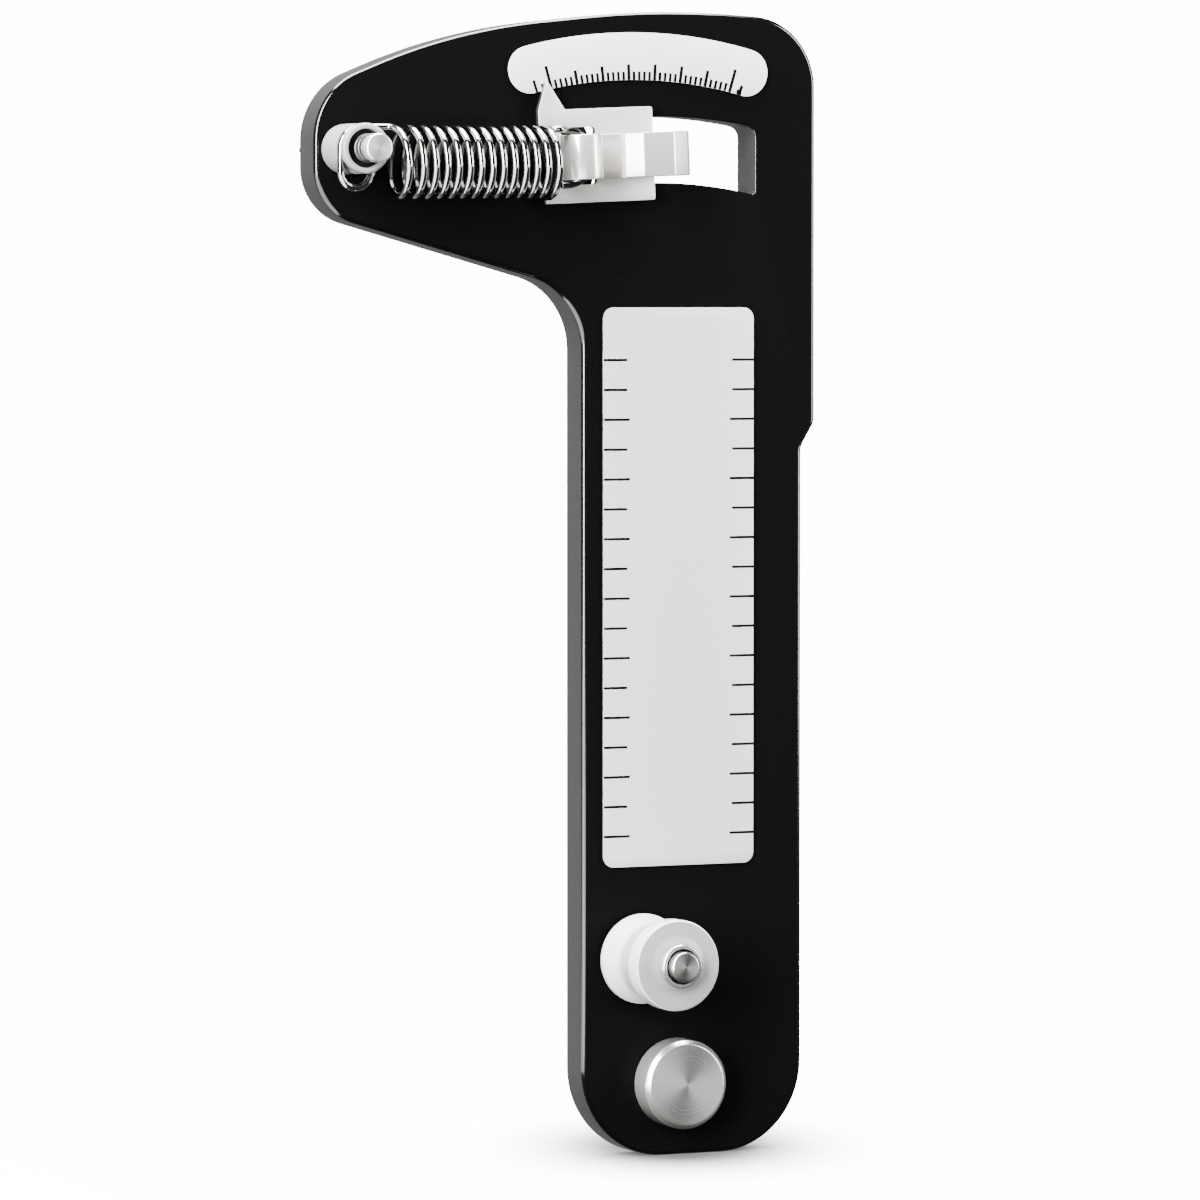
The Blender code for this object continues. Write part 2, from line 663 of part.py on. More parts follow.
def strip_path():
    """Middle line of the hook strip as (across, depth), from the tongue's tip to the lip's end."""
    half = STRIP_THICKNESS / 2
    eye_middle = EYE_RADIUS + half
    eye_depth = STRIP_MIDDLE + eye_middle
    tip_depth = STRIP_MIDDLE + STRIP_THICKNESS + GAP
    tip = Vector((EYE_ACROSS + TONGUE_REACH, tip_depth))
    crown = Vector((EYE_ACROSS, eye_depth + eye_middle))
    path = s_curve(tip, tip - Vector((TONGUE_PULL, 0)), crown + Vector((CROWN_PULL, 0)), crown, 16)
    steps = arc_steps(eye_middle, HALF_TURN)
    for step in range(steps + 1):
        angle = HALF_TURN / 2 + HALF_TURN * step / steps
        path.append((EYE_ACROSS + eye_middle * math.cos(angle), eye_depth + eye_middle * math.sin(angle)))
    lip_depth = STRIP_MIDDLE + HOOK_HEIGHT
    low_across, low_rise = HOOK_LOW_CORNER
    high_across, high_fall = HOOK_HIGH_CORNER
    path += bent((
        path.pop(),
        (HOOK_ACROSS - low_across, STRIP_MIDDLE, HOOK_LOW_RADIUS),
        (HOOK_ACROSS, STRIP_MIDDLE + low_rise, HOOK_LOW_RADIUS),
        (HOOK_ACROSS - high_across, lip_depth - high_fall, HOOK_HIGH_RADIUS),
        (LIP_FOLD_ACROSS, lip_depth, FOLD_RADIUS),
        (FLARE_FOLD_ACROSS, lip_depth, FOLD_RADIUS),
        (FLARE_FOLD_ACROSS - FLARE_LENGTH, lip_depth + FLARE_RISE),
    ))
    return [Vector(point) for point in path]


def make_cable_hook(pivot, origin):
    """One bent strip: rounded tongue, eye, foot and flared hook, with its edges broken."""
    path = strip_path()
    half = STRIP_THICKNESS / 2
    mesh = bmesh.new()
    rings = []
    travelled = 0
    for index, here in enumerate(path):
        before = path[max(index - 1, 0)]
        after = path[min(index + 1, len(path) - 1)]
        travelled += (here - before).length
        along = (after - before).normalized()
        normal = Vector((-along.y, along.x))
        half_width = STRIP_WIDTH / 2
        if travelled < TONGUE_TIP_RADIUS:
            round_tip = math.sqrt(travelled * (2 * TONGUE_TIP_RADIUS - travelled))
            half_width = min(half_width, max(round_tip, 2 * STRIP_CHAMFER))
        narrow = half_width - STRIP_CHAMFER
        thin = half - STRIP_CHAMFER
        section = (
            (half, narrow), (thin, half_width), (-thin, half_width), (-half, narrow),
            (-half, -narrow), (-thin, -half_width), (thin, -half_width), (half, -narrow),
        )
        ring = []
        for out, up in section:
            across, depth = here + normal * out
            u, z = on_slider(across, up + STRIP_UP)
            ring.append(mesh.verts.new((u - origin[0], -depth, z - origin[1])))
        rings.append(ring)
    for low, high in zip(rings, rings[1:]):
        for index in range(len(low)):
            mesh.faces.new((low[index - 1], low[index], high[index], high[index - 1]))
    mesh.faces.new(rings[0])
    mesh.faces.new(rings[-1])
    bmesh.ops.recalc_face_normals(mesh, faces=mesh.faces)
    hook = add("cable_hook", mesh, STAINLESS, Vector(), pivot)

    strip_front = STRIP_BACK + STRIP_THICKNESS
    hole = HOOK_RIVET_RADIUS + GAP
    tool = ((0, STRIP_BACK - GAP), (hole, STRIP_BACK - GAP), (hole, strip_front + GAP), (0, strip_front + GAP))
    rivet = (
        (0, SLIDER_BACK + GAP / 2),
        (HOOK_RIVET_RADIUS, SLIDER_BACK + GAP / 2),
        (HOOK_RIVET_RADIUS, strip_front - GAP / 2),
        (0, strip_front - GAP / 2),
    )
    for name, (u, z) in zip(("hook_rivet_left", "hook_rivet_right"), hook_rivets()):
        spot = Vector((u - PIVOT_U, 0, z - PIVOT_Z))
        cut(hook, add("hole_for_" + name, lathe(tool), STAINLESS, spot, pivot))
        add(name, lathe(rivet), TURNED_STEEL, spot, pivot)


def coil_point(u, turned_length):
    """A point on the coil's round surface, a length round it from the top towards the front."""
    angle = turned_length / COIL_RADIUS
    return Vector((u, COIL_DEPTH + COIL_RADIUS * math.sin(angle), COIL_Z + COIL_RADIUS * math.cos(angle)))


def coil_path():
    """The coil as (u, depth, z): each end bends out of the winding into a leg along the top.

    The turns at the anchor stand a little wider apart than the others.
    """
    round_length = FULL_TURN * COIL_RADIUS * COIL_TURNS
    bend = LEG_BEND_RADIUS
    advance = (COIL_END_U - COIL_START_U - 2 * bend) / (round_length - 2 * bend)
    sweep = HALF_TURN / 2 - math.atan(advance)
    lead_in = [
        (COIL_START_U + bend * math.sin(sweep * step / POINTS_PER_BEND),
         bend * (1 - math.cos(sweep * step / POINTS_PER_BEND)))
        for step in range(POINTS_PER_BEND + 1)
    ]
    first_u, first_length = lead_in[-1]
    last_u = COIL_START_U + COIL_END_U - first_u
    last_length = round_length - first_length
    steps = COIL_TURNS * POINTS_PER_TURN
    winding = []
    for step in range(1, steps):
        share = step / steps
        open_share = share + OPEN_TURN_SHARE * (1 - (1 - share) ** COIL_TURNS)
        u = first_u + (last_u - first_u) * open_share / (1 + OPEN_TURN_SHARE)
        winding.append((u, first_length + (last_length - first_length) * share))
    lead_out = [(COIL_START_U + COIL_END_U - u, round_length - length) for u, length in lead_in[::-1]]
    return [coil_point(u, length) for u, length in lead_in + winding + lead_out]


def loop_centre():
    """Centre of the arc by which the loop goes round the anchor bush."""
    return Vector((LOOP_LEFT_U + LOOP_RADIUS, COIL_Z + COIL_RADIUS - LOOP_RADIUS))


def anchor_loop_path():
    """The loop round the anchor bush, from its cut end to the leg's start.

    It closes below the bush in a small bend, whose straight end points up beside the groove.
    """
    span = COIL_START_U - LOOP_LEFT_U
    foot = Vector((LOOP_LEFT_U + LOOP_FOOT_RADIUS, COIL_Z + COIL_RADIUS - LOOP_HEIGHT + LOOP_FOOT_RADIUS))
    first = foot + turned(Vector((LOOP_FOOT_RADIUS, 0)), LOOP_END_ANGLE)
    flat = [first + turned(Vector((0, 3 * WIRE_RADIUS)), LOOP_END_ANGLE)]
    for centre, radius, begin, end in (
        (foot, LOOP_FOOT_RADIUS, LOOP_END_ANGLE, -HALF_TURN),
        (loop_centre(), LOOP_RADIUS, -HALF_TURN, -HALF_TURN * 1.5),
    ):
        steps = math.ceil(abs(end - begin) / HALF_TURN * POINTS_PER_LOOP)
        for step in range(steps + 1):
            angle = begin + (end - begin) * step / steps
            flat.append(centre + turned(Vector((radius, 0)), angle))
    return [Vector((u, COIL_DEPTH + LOOP_DEPTH_RISE * (COIL_START_U - u) / span, z)) for u, z in flat]


def eye_hook_path():
    """The hook through the slider's eye, from the leg's end to its cut end."""
    half = STRIP_THICKNESS / 2
    eye_depth = STRIP_MIDDLE + half + EYE_RADIUS
    room = EYE_RADIUS - GAP - WIRE_RADIUS
    hook_depth = eye_depth + room * 0.54
    edge = STRIP_WIDTH / 2
    inner = EYE_HOOK_RADIUS - WIRE_RADIUS
    reach = hook_depth - eye_depth + WIRE_RADIUS * 0.7
    wall = EYE_ACROSS + GAP - math.sqrt(EYE_RADIUS ** 2 - reach ** 2)
    centre = wall - math.sqrt(inner ** 2 - edge ** 2)
    flat = []
    for step in range(POINTS_PER_LOOP + 1):
        angle = HALF_TURN / 2 - HALF_TURN * step / POINTS_PER_LOOP
        flat.append((centre + EYE_HOOK_RADIUS * math.cos(angle), EYE_HOOK_RADIUS * math.sin(angle)))
    flat.append((centre - 2 * WIRE_RADIUS, -EYE_HOOK_RADIUS))
    points = []
    for across, up in flat:
        u, z = on_slider(across, up + STRIP_UP)
        points.append(Vector((u, hook_depth, z)))
    return points


def least_gap(points):
    """Least free space between turns of the spring, away from each point's own neighbours."""
    lengths = [0]
    for before, here in zip(points, points[1:]):
        lengths.append(lengths[-1] + (here - before).length)
    skip = HALF_TURN * COIL_RADIUS
    least = COIL_RADIUS
    for first, here in enumerate(points):
        for second in range(first + 1, len(points)):
            if lengths[second] - lengths[first] > skip:
                least = min(least, (points[second] - here).length)
    return least - 2 * WIRE_RADIUS


def make_spring():
    """One unbroken wire: anchor loop, coil and eye hook."""
    path = anchor_loop_path() + coil_path() + eye_hook_path()
    print("spring: least gap to itself", round(least_gap(path) * 1000, 3), "mm")
    curve = bpy.data.curves.new("tension_spring", "CURVE")
    curve.dimensions = "3D"
    curve.bevel_depth = WIRE_RADIUS
    curve.bevel_resolution = 1
    curve.use_fill_caps = True
    wire = curve.splines.new("POLY")
    wire.points.add(len(path) - 1)
    start = Vector((ANCHOR_U, 0, ANCHOR_Z))
    for spot, point in zip(wire.points, path):
        spot.co = (point.x - start.x, -point.y, point.z - start.z, 1)
    curve.materials.append(material("tension_spring", *SPRING_STEEL))
    piece = bpy.data.objects.new("tension_spring", curve)
    piece.location = place(ANCHOR_U, 0, ANCHOR_Z)
    bpy.context.collection.objects.link(piece)


def make_washer(name, u, z, hole, radius, back, finish):
    """A flat ring."""
    front = back + WASHER_THICKNESS
    ring = ((hole, back), (radius, back), (radius, front), (hole, front))
    add(name, lathe(ring, closed=True), finish, place(u, 0, z))


def make_nut(name, u, z, thread_radius):
    """A chamfered hexagon with a clearance bore."""
    corner = NUT_FLATS / 2 / math.cos(HALF_TURN / 6)
    hexagon = [
        Vector((u + corner * math.cos(FULL_TURN * side / 6), z + corner * math.sin(FULL_TURN * side / 6)))
        for side in range(6)
    ]
    bore = circle(u, z, thread_radius + GAP)
    loops = [
        (hexagon, edge_profile(NUT_BACK, NUT_FRONT, NUT_CHAMFER)),
        (bore, hole_profile(NUT_BACK, NUT_FRONT)),
    ]
    add(name, slab(loops, (u, z)), ZINC_STEEL, place(u, 0, z))


def make_anchor():
    """Shouldered pin with a grooved bush for the spring's loop, nutted behind the body."""
    spot = place(ANCHOR_U, 0, ANCHOR_Z)
    head_back = ANCHOR_BUSH_FRONT - ANCHOR_RECESS_DEPTH + GAP
    relief = ANCHOR_HEAD_RADIUS - ANCHOR_RELIEF
    collar = ANCHOR_COLLAR_LENGTH
    pin = [
        (0, STUD_BACK),
        (ANCHOR_THREAD_RADIUS - PIN_CHAMFER, STUD_BACK),
        (ANCHOR_THREAD_RADIUS, STUD_BACK + PIN_CHAMFER),
        (ANCHOR_THREAD_RADIUS, GAP),
        (ANCHOR_NECK_RADIUS, GAP),
        (ANCHOR_NECK_RADIUS, head_back),
        (relief, head_back),
    ]
    for ring in range(3):
        start = head_back + collar * (0.6 + 1.6 * ring)
        pin += [
            (relief, start),
            (ANCHOR_HEAD_RADIUS, start + collar * 0.2),
            (ANCHOR_HEAD_RADIUS, start + collar * 0.8),
            (relief, start + collar),
        ]
    pin += [
        (relief, start + collar * 1.6),
        (ANCHOR_HEAD_RADIUS, start + collar * 1.8),
        (ANCHOR_HEAD_RADIUS, ANCHOR_HEAD_FRONT - PIN_CHAMFER),
        (ANCHOR_HEAD_RADIUS - PIN_CHAMFER, ANCHOR_HEAD_FRONT),
        (0, ANCHOR_HEAD_FRONT),
    ]
    add("anchor_pin", lathe(pin), TURNED_STEEL, spot)

    bore = ANCHOR_NECK_RADIUS + GAP
    drop = (loop_centre() - Vector((ANCHOR_U, ANCHOR_Z))).length
    groove = LOOP_RADIUS - WIRE_RADIUS - drop - GAP
    rim = PIN_CHAMFER
    rear = ANCHOR_BUSH_REAR_ROUND
    bush = (
        (bore, BUSH_BACK),
        (ANCHOR_BUSH_RADIUS - rear, BUSH_BACK),
        (ANCHOR_BUSH_RADIUS - rear * 0.293, BUSH_BACK + rear * 0.293),
        (ANCHOR_BUSH_RADIUS, BUSH_BACK + rear),
        (ANCHOR_BUSH_RADIUS, ANCHOR_GROOVE_BACK),
        (groove, ANCHOR_GROOVE_BACK),
        (groove, ANCHOR_GROOVE_FRONT),
        (ANCHOR_BUSH_RADIUS, ANCHOR_GROOVE_FRONT),
        (ANCHOR_BUSH_RADIUS, ANCHOR_BUSH_FRONT - rim),
        (ANCHOR_BUSH_RADIUS - rim, ANCHOR_BUSH_FRONT),
        (ANCHOR_RECESS_RADIUS, ANCHOR_BUSH_FRONT),
        (ANCHOR_RECESS_RADIUS, ANCHOR_BUSH_FRONT - ANCHOR_RECESS_DEPTH),
        (bore, ANCHOR_BUSH_FRONT - ANCHOR_RECESS_DEPTH),
    )
    add("anchor_bush", lathe(bush, closed=True), WHITE_ACETAL, spot)
    make_washer("anchor_washer", ANCHOR_U, ANCHOR_Z, bore, ANCHOR_WASHER_RADIUS, GAP, ZINC_STEEL)
    hole = ANCHOR_THREAD_RADIUS + GAP
    make_washer("anchor_rear_washer", ANCHOR_U, ANCHOR_Z, hole, REAR_WASHER_RADIUS, REAR_WASHER_BACK, ZINC_STEEL)
    make_nut("anchor_nut", ANCHOR_U, ANCHOR_Z, ANCHOR_THREAD_RADIUS)


def make_sheave():
    """Grooved sheave with a flanged bush, on a headed axle that is nutted behind the body."""
    spot = place(SHEAVE_U, 0, SHEAVE_Z)
    back = BUSH_BACK
    front = SHEAVE_FRONT
    rear_slope = SHEAVE_RADIUS - SHEAVE_GROOVE_RADIUS
    bush_bore = SHEAVE_AXLE_RADIUS + GAP
    bush_radius = bush_bore + BUSH_WALL
    bore = bush_radius + GAP
    groove_start = back + SHEAVE_REAR_RIM + 1.5 * rear_slope
    sheave = (
        (bore, back),
        (SHEAVE_RADIUS - SHEAVE_CHAMFER, back),
        (SHEAVE_RADIUS, back + SHEAVE_CHAMFER),
        (SHEAVE_RADIUS, back + SHEAVE_REAR_RIM),
        (SHEAVE_GROOVE_RADIUS + rear_slope * 0.16, groove_start - rear_slope * 0.4),
        (SHEAVE_GROOVE_RADIUS, groove_start),
        (SHEAVE_GROOVE_RADIUS, groove_start + SHEAVE_GROOVE_WIDTH),
        (SHEAVE_RADIUS, front - SHEAVE_FRONT_RIM),
        (SHEAVE_RADIUS, front - SHEAVE_CHAMFER),
        (SHEAVE_RADIUS - SHEAVE_CHAMFER, front),
        (SHEAVE_HUB_RADIUS + SHEAVE_HUB_RISE * 3, front),
        (SHEAVE_HUB_RADIUS, front + SHEAVE_HUB_RISE),
        (bore, front + SHEAVE_HUB_RISE),
    )
    add("cable_sheave", lathe(sheave, closed=True), WHITE_ACETAL, spot)

    flange_back = front + SHEAVE_HUB_RISE + GAP
    flange_front = flange_back + BUSH_FLANGE_THICKNESS
    recess = flange_front - BUSH_RECESS_DEPTH
    head_gap = SHEAVE_HEAD_RADIUS + 2 * GAP
    edge = PIN_CHAMFER
    bush = (
        (bush_bore, back),
        (bush_radius, back),
        (bush_radius, flange_back),
        (SHEAVE_HUB_RADIUS, flange_back),
        (SHEAVE_HUB_RADIUS, flange_front - edge),
        (SHEAVE_HUB_RADIUS - edge, flange_front),
        (head_gap, flange_front),
        (head_gap, recess),
        (bush_bore, recess),
    )
    add("sheave_bush", lathe(bush, closed=True), TURNED_STEEL, spot)
    axle = (
        (0, STUD_BACK),
        (SHEAVE_THREAD_RADIUS - edge, STUD_BACK),
        (SHEAVE_THREAD_RADIUS, STUD_BACK + edge),
        (SHEAVE_THREAD_RADIUS, GAP),
        (SHEAVE_AXLE_RADIUS, GAP),
        (SHEAVE_AXLE_RADIUS, recess + GAP),
        (SHEAVE_HEAD_RADIUS, recess + GAP),
        (SHEAVE_HEAD_RADIUS, SHEAVE_HEAD_FRONT - edge),
        (SHEAVE_HEAD_RADIUS - edge, SHEAVE_HEAD_FRONT),
        (0, SHEAVE_HEAD_FRONT),
    )
    add("sheave_axle", lathe(axle), TURNED_STEEL, spot)
    make_washer("sheave_washer", SHEAVE_U, SHEAVE_Z, bush_bore, SHEAVE_WASHER_RADIUS, GAP, ZINC_STEEL)
    hole = SHEAVE_THREAD_RADIUS + GAP
    make_washer("sheave_rear_washer", SHEAVE_U, SHEAVE_Z, hole, REAR_WASHER_RADIUS, REAR_WASHER_BACK, ZINC_STEEL)
    make_nut("sheave_nut", SHEAVE_U, SHEAVE_Z, SHEAVE_THREAD_RADIUS)


def make_post():
    """Turned steel post that the wire bears on, held by a screw from behind."""
    spot = place(POST_U, 0, POST_Z)
    hole = POST_SCREW_RADIUS + GAP
    front = GAP + POST_HEIGHT
    post = (
        (0, front),
        (POST_RADIUS - POST_CHAMFER, front),
        (POST_RADIUS, front - POST_CHAMFER),
        (POST_RADIUS, GAP),
        (hole, GAP),
        (hole, POST_SCREW_REACH + GAP),
        (0, POST_SCREW_REACH + GAP),
    )
    add("cable_post", lathe(post), TURNED_STEEL, spot)
    head_front = BODY_BACK - GAP
    head_back = head_front - POST_SCREW_HEAD_HEIGHT
    screw = (
        (0, POST_SCREW_REACH),
        (POST_SCREW_RADIUS, POST_SCREW_REACH),
        (POST_SCREW_RADIUS, head_front),
        (POST_SCREW_HEAD_RADIUS, head_front),
        (POST_SCREW_HEAD_RADIUS, head_back + PIN_CHAMFER),
        (POST_SCREW_HEAD_RADIUS - PIN_CHAMFER, head_back),
        (0, head_back),
    )
    add("cable_post_screw", lathe(screw), ZINC_STEEL, spot)


def make_slider():
    """Everything that swings on the arc, hung on its centre."""
    origin = (PIVOT_U, PIVOT_Z)
    pivot = empty("slider_pivot", place(PIVOT_U, 0, PIVOT_Z))
    make_pointer_plate(pivot, origin)
    make_guide(pivot, origin)
    make_cable_hook(pivot, origin)
    print("slider swings", round(math.degrees(TRAVEL_ANGLE), 2), "degrees about", pivot.location[:])


clear_scene()
make_body()
make_sheets()
make_slider()
make_spring()
make_anchor()
make_sheave()
make_post()
for spun, u, z in (("sheave", SHEAVE_U, SHEAVE_Z), ("anchor bush", ANCHOR_U, ANCHOR_Z)):
    print(spun, "turns about", place(u, 0, z)[:])
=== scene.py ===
# %% [markdown]
# # A rigging tension gauge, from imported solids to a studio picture
#
# The gauge's solids come from the CAD step, already in place and at real size. This lesson gives
# them their looks. It has five parts:
#
# 1. load the solids as the frame that everything else hangs on,
# 2. build finer versions of the pieces that catch the light: plates, turned parts, spring, hook,
# 3. rule the scale and the chart with Geometry Nodes,
# 4. make the metals and plastics from procedural nodes,
# 5. light it as in a product photo.
#
# Each cell prints something small, so that a mistake shows where it is made.

import json
import math

import bmesh
import bpy
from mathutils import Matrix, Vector

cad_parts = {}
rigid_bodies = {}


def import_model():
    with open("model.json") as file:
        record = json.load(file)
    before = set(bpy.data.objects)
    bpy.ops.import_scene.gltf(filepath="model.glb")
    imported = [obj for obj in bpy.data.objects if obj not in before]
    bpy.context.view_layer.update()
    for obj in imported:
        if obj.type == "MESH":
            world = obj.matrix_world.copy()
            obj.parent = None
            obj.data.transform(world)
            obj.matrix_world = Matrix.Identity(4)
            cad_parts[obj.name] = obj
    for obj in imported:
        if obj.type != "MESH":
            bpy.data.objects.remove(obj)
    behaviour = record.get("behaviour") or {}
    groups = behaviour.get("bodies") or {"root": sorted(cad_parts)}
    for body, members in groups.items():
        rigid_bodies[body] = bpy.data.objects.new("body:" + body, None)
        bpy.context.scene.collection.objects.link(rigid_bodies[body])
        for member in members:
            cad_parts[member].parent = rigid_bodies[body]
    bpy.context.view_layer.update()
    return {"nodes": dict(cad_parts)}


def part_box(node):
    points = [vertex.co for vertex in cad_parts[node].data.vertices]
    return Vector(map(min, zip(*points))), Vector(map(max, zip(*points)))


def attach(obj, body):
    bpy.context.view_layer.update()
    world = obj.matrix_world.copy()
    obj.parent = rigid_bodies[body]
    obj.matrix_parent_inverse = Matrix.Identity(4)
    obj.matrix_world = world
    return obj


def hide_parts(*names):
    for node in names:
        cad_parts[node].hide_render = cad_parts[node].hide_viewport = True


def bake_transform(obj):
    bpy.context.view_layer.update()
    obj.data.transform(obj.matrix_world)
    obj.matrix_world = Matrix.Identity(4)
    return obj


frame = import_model()
nodes = frame["nodes"]

# %% [markdown]
# ## Where things are
#
# Flat pieces are easiest to draw on the front face of the body. So points are given as the CAD
# step gives them: `u` to the right of the stem's datum, `z` up from the foot, and `depth`, how far
# the point stands proud of the front face. All three are in millimetres. `place()` turns them
# into the frame's metres, where +X is to the right and the front faces -Y.

# %% Places
MM = 0.001
BODY_LEFT = -98.95
BODY_THICKNESS = 10.0
body_low, body_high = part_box("body_plate")
FRONT_Y = body_low.y
DATUM_X = body_low.x - BODY_LEFT * MM


def place(u, depth, z):
    """A point on the gauge, in metres in the frame."""
    return Vector((DATUM_X + u * MM, FRONT_Y - depth * MM, z * MM))


def turned(point, angle):
    """A flat point turned anticlockwise about zero."""
    cosine, sine = math.cos(angle), math.sin(angle)
    return Vector((point[0] * cosine - point[1] * sine, point[0] * sine + point[1] * cosine))


print("front face at y =", round(FRONT_Y * 1000, 3), "mm, datum at x =", round(DATUM_X * 1000, 3), "mm")

# %% [markdown]
# ## Drawing outlines
#
# An outline is a list of corners, each with its own rounding radius. `rounded()` swaps every
# corner for an arc of many short facets. More facets than in the CAD solids cost nothing here and
# keep reflections smooth.

# %% Outlines
FACET = math.radians(4)


def corner_arc(before, here, after):
    """Points of the arc that rounds one (u, z, radius) corner."""
    corner, radius = Vector(here[:2]), here[2]
    if radius == 0:
        return [corner]
    sides = [Vector(before[:2]) - corner, Vector(after[:2]) - corner]
    ways = [side.normalized() for side in sides]
    turn = math.pi - ways[0].angle(ways[1])
    tangent = min(radius * math.tan(turn / 2), 0.96 * min(side.length for side in sides))
    radius = tangent / math.tan(turn / 2)
    centre = corner + (ways[0] + ways[1]).normalized() * radius / math.cos(turn / 2)
    start = corner + ways[0] * tangent - centre
    hand = 1 if ways[0].x * ways[1].y - ways[0].y * ways[1].x < 0 else -1
    steps = max(4, math.ceil(turn / FACET), math.ceil(turn * radius / 1.5))
    return [centre + turned(start, hand * turn * step / steps) for step in range(steps + 1)]


def rounded(corners):
    """Points of a closed outline from (u, z, radius) corners."""
    points = []
    for index, here in enumerate(corners):
        points += corner_arc(corners[index - 1], here, corners[(index + 1) % len(corners)])
    return points


def bent(corners):
    """Points of an open line with rounded corners."""
    points = [Vector(corners[0][:2])]
    for before, here, after in zip(corners, corners[1:], corners[2:]):
        points += corner_arc(before, here, after)
    return points + [Vector(corners[-1][:2])]


def circle(u, z, radius):
    """A round hole, clockwise."""
    steps = 64
    return [
        Vector((u + radius * math.cos(a), z + radius * math.sin(a)))
        for a in (-math.tau * step / steps for step in range(steps))
    ]


def on_arc(centre, radius, angle):
    """A point on an arc, angle 0 straight up and positive to the right."""
    return centre[0] + radius * math.sin(angle), centre[1] + radius * math.cos(angle)


def band(centre, radii, lefts, rights, corner_radii, clear=1.3):
    """Corners of a curved band, anticlockwise from its lower left."""
    corners = []
    low_left, low_right, high_right, high_left = corner_radii
    rows = (
        (radii[0], lefts[0], rights[0], low_left, low_right),
        (radii[1], rights[1], lefts[1], high_right, high_left),
    )
    for radius, start, end, start_radius, end_radius in rows:
        way = math.copysign(clear / radius, end - start)
        first, last = start + way * start_radius, end - way * end_radius
        steps = max(2, math.ceil(abs(last - first) / math.radians(0.5)))
        corners.append((*on_arc(centre, radius, start), start_radius))
        for step in range(steps + 1):
            corners.append((*on_arc(centre, radius, first + (last - first) * step / steps), 0))
        corners.append((*on_arc(centre, radius, end), end_radius))
    return corners


def offset(loop, distance):
    """The loop moved to its left, into the material."""
    moved = []
    for index, here in enumerate(loop):
        before = (here - loop[index - 1]).normalized()
        after = (loop[(index + 1) % len(loop)] - here).normalized()
        along = (before + after).normalized()
        normal = Vector((-along.y, along.x))
        moved.append(here + normal * distance / normal.dot(Vector((-before.y, before.x))))
    return moved


square = [(0, 0, 1), (9, 0, 1), (9, 9, 1), (0, 9, 1)]
print("a square with rounded corners has", len(rounded(square)), "points")

# %% [markdown]
# ## Turning outlines into solids
#
# `slab()` lifts outlines into a plate whose edges follow a small profile, so that every rim gets a
# soft round and catches a line of light. `lathe()` spins a profile for turned parts. Both leave
# the object at the frame's origin with its place in its vertices, as the frame expects.

# %% Solids
def new_object(name, data):
    """An object of the scene with this data."""
    made = bpy.data.objects.new(name, data)
    bpy.context.scene.collection.objects.link(made)
    return made


def finish_mesh(name, mesh, angle=35):
    """Links a bmesh into the scene, smooth except where it turns sharply."""
    bmesh.ops.recalc_face_normals(mesh, faces=mesh.faces)
    data = bpy.data.meshes.new(name)
    mesh.to_mesh(data)
    mesh.free()
    data.shade_smooth()
    data.set_sharp_from_angle(angle=math.radians(angle))
    return new_object(name, data)


def skin(mesh, rings):
    """Joins every closed ring of vertices to the next."""
    for low, high in zip(rings, rings[1:]):
        for index in range(len(low)):
            mesh.faces.new((low[index - 1], low[index], high[index], high[index - 1]))


def round_edge(back, front, radius, steps=4):
    """Straight sides with rounded rims, as (depth, inset) from back to front."""
    quarter = [math.pi / 2 * step / steps for step in range(steps + 1)]
    curve = [(radius * (1 - math.cos(a)), radius * (1 - math.sin(a))) for a in quarter]
    back_rim = [(back + rise, inset) for rise, inset in curve]
    front_rim = [(front - rise, inset) for rise, inset in curve[::-1]]
    return back_rim + front_rim


def slab(name, loops):
    """A plate from [(points, profile), ...]: the outline first, then its holes."""
    mesh = bmesh.new()
    rims = ([], [])
    for points, profile in loops:
        rings = []
        for depth, inset in profile:
            rings.append([mesh.verts.new(place(p.x, depth, p.y)) for p in offset(points, inset)])
        skin(mesh, rings)
        for rim, ring in zip(rims, (rings[0], rings[-1])):
            rim.extend(mesh.edges.get((ring[i - 1], ring[i])) for i in range(len(ring)))
    for rim in rims:
        bmesh.ops.triangle_fill(mesh, use_beauty=True, edges=rim)
    return finish_mesh(name, mesh)


def soften(profile, radius, steps=3):
    """Rounds every corner of an open (radius, depth) profile by up to the given radius."""
    points = [Vector(p) for p in profile]
    out = [points[0]]
    for before, here, after in zip(points, points[1:], points[2:]):
        to_before, to_after = before - here, after - here
        reach = min(radius, to_before.length * 0.45, to_after.length * 0.45)
        start = here + to_before.normalized() * reach
        end = here + to_after.normalized() * reach
        for step in range(steps + 1):
            share = step / steps
            out.append(start * (1 - share) ** 2 + here * 2 * share * (1 - share) + end * share ** 2)
    out.append(points[-1])
    return out


def lathe(name, u, z, profile, segments=128):
    """A turned piece about the depth axis through (u, z). A ring's profile starts and ends alike."""
    mesh = bmesh.new()
    centre = place(u, 0, z)
    closed = (Vector(profile[0]) - Vector(profile[-1])).length < 1e-6
    points = profile[:-1] if closed else profile
    verts = [mesh.verts.new(centre + Vector((r * MM, -d * MM, 0))) for r, d in points]
    edges = [mesh.edges.new(pair) for pair in zip(verts, verts[1:])]
    if closed:
        edges.append(mesh.edges.new((verts[-1], verts[0])))
    bmesh.ops.spin(
        mesh, geom=verts + edges, cent=centre, axis=(0, 1, 0), angle=math.tau,
        steps=segments, use_merge=True,
    )
    bmesh.ops.remove_doubles(mesh, verts=mesh.verts, dist=1e-6)
    return finish_mesh(name, mesh)


print("edge profile:", [(round(d, 2), round(i, 2)) for d, i in round_edge(0, 8, 0.6, 2)])

# %% [markdown]
# ## The body
#
# One flat plate: a stem, a head with an arm to the left, and the arc window that the slider runs
# in. The crest is three long arcs that tighten towards the arm's tip, between two short ones.

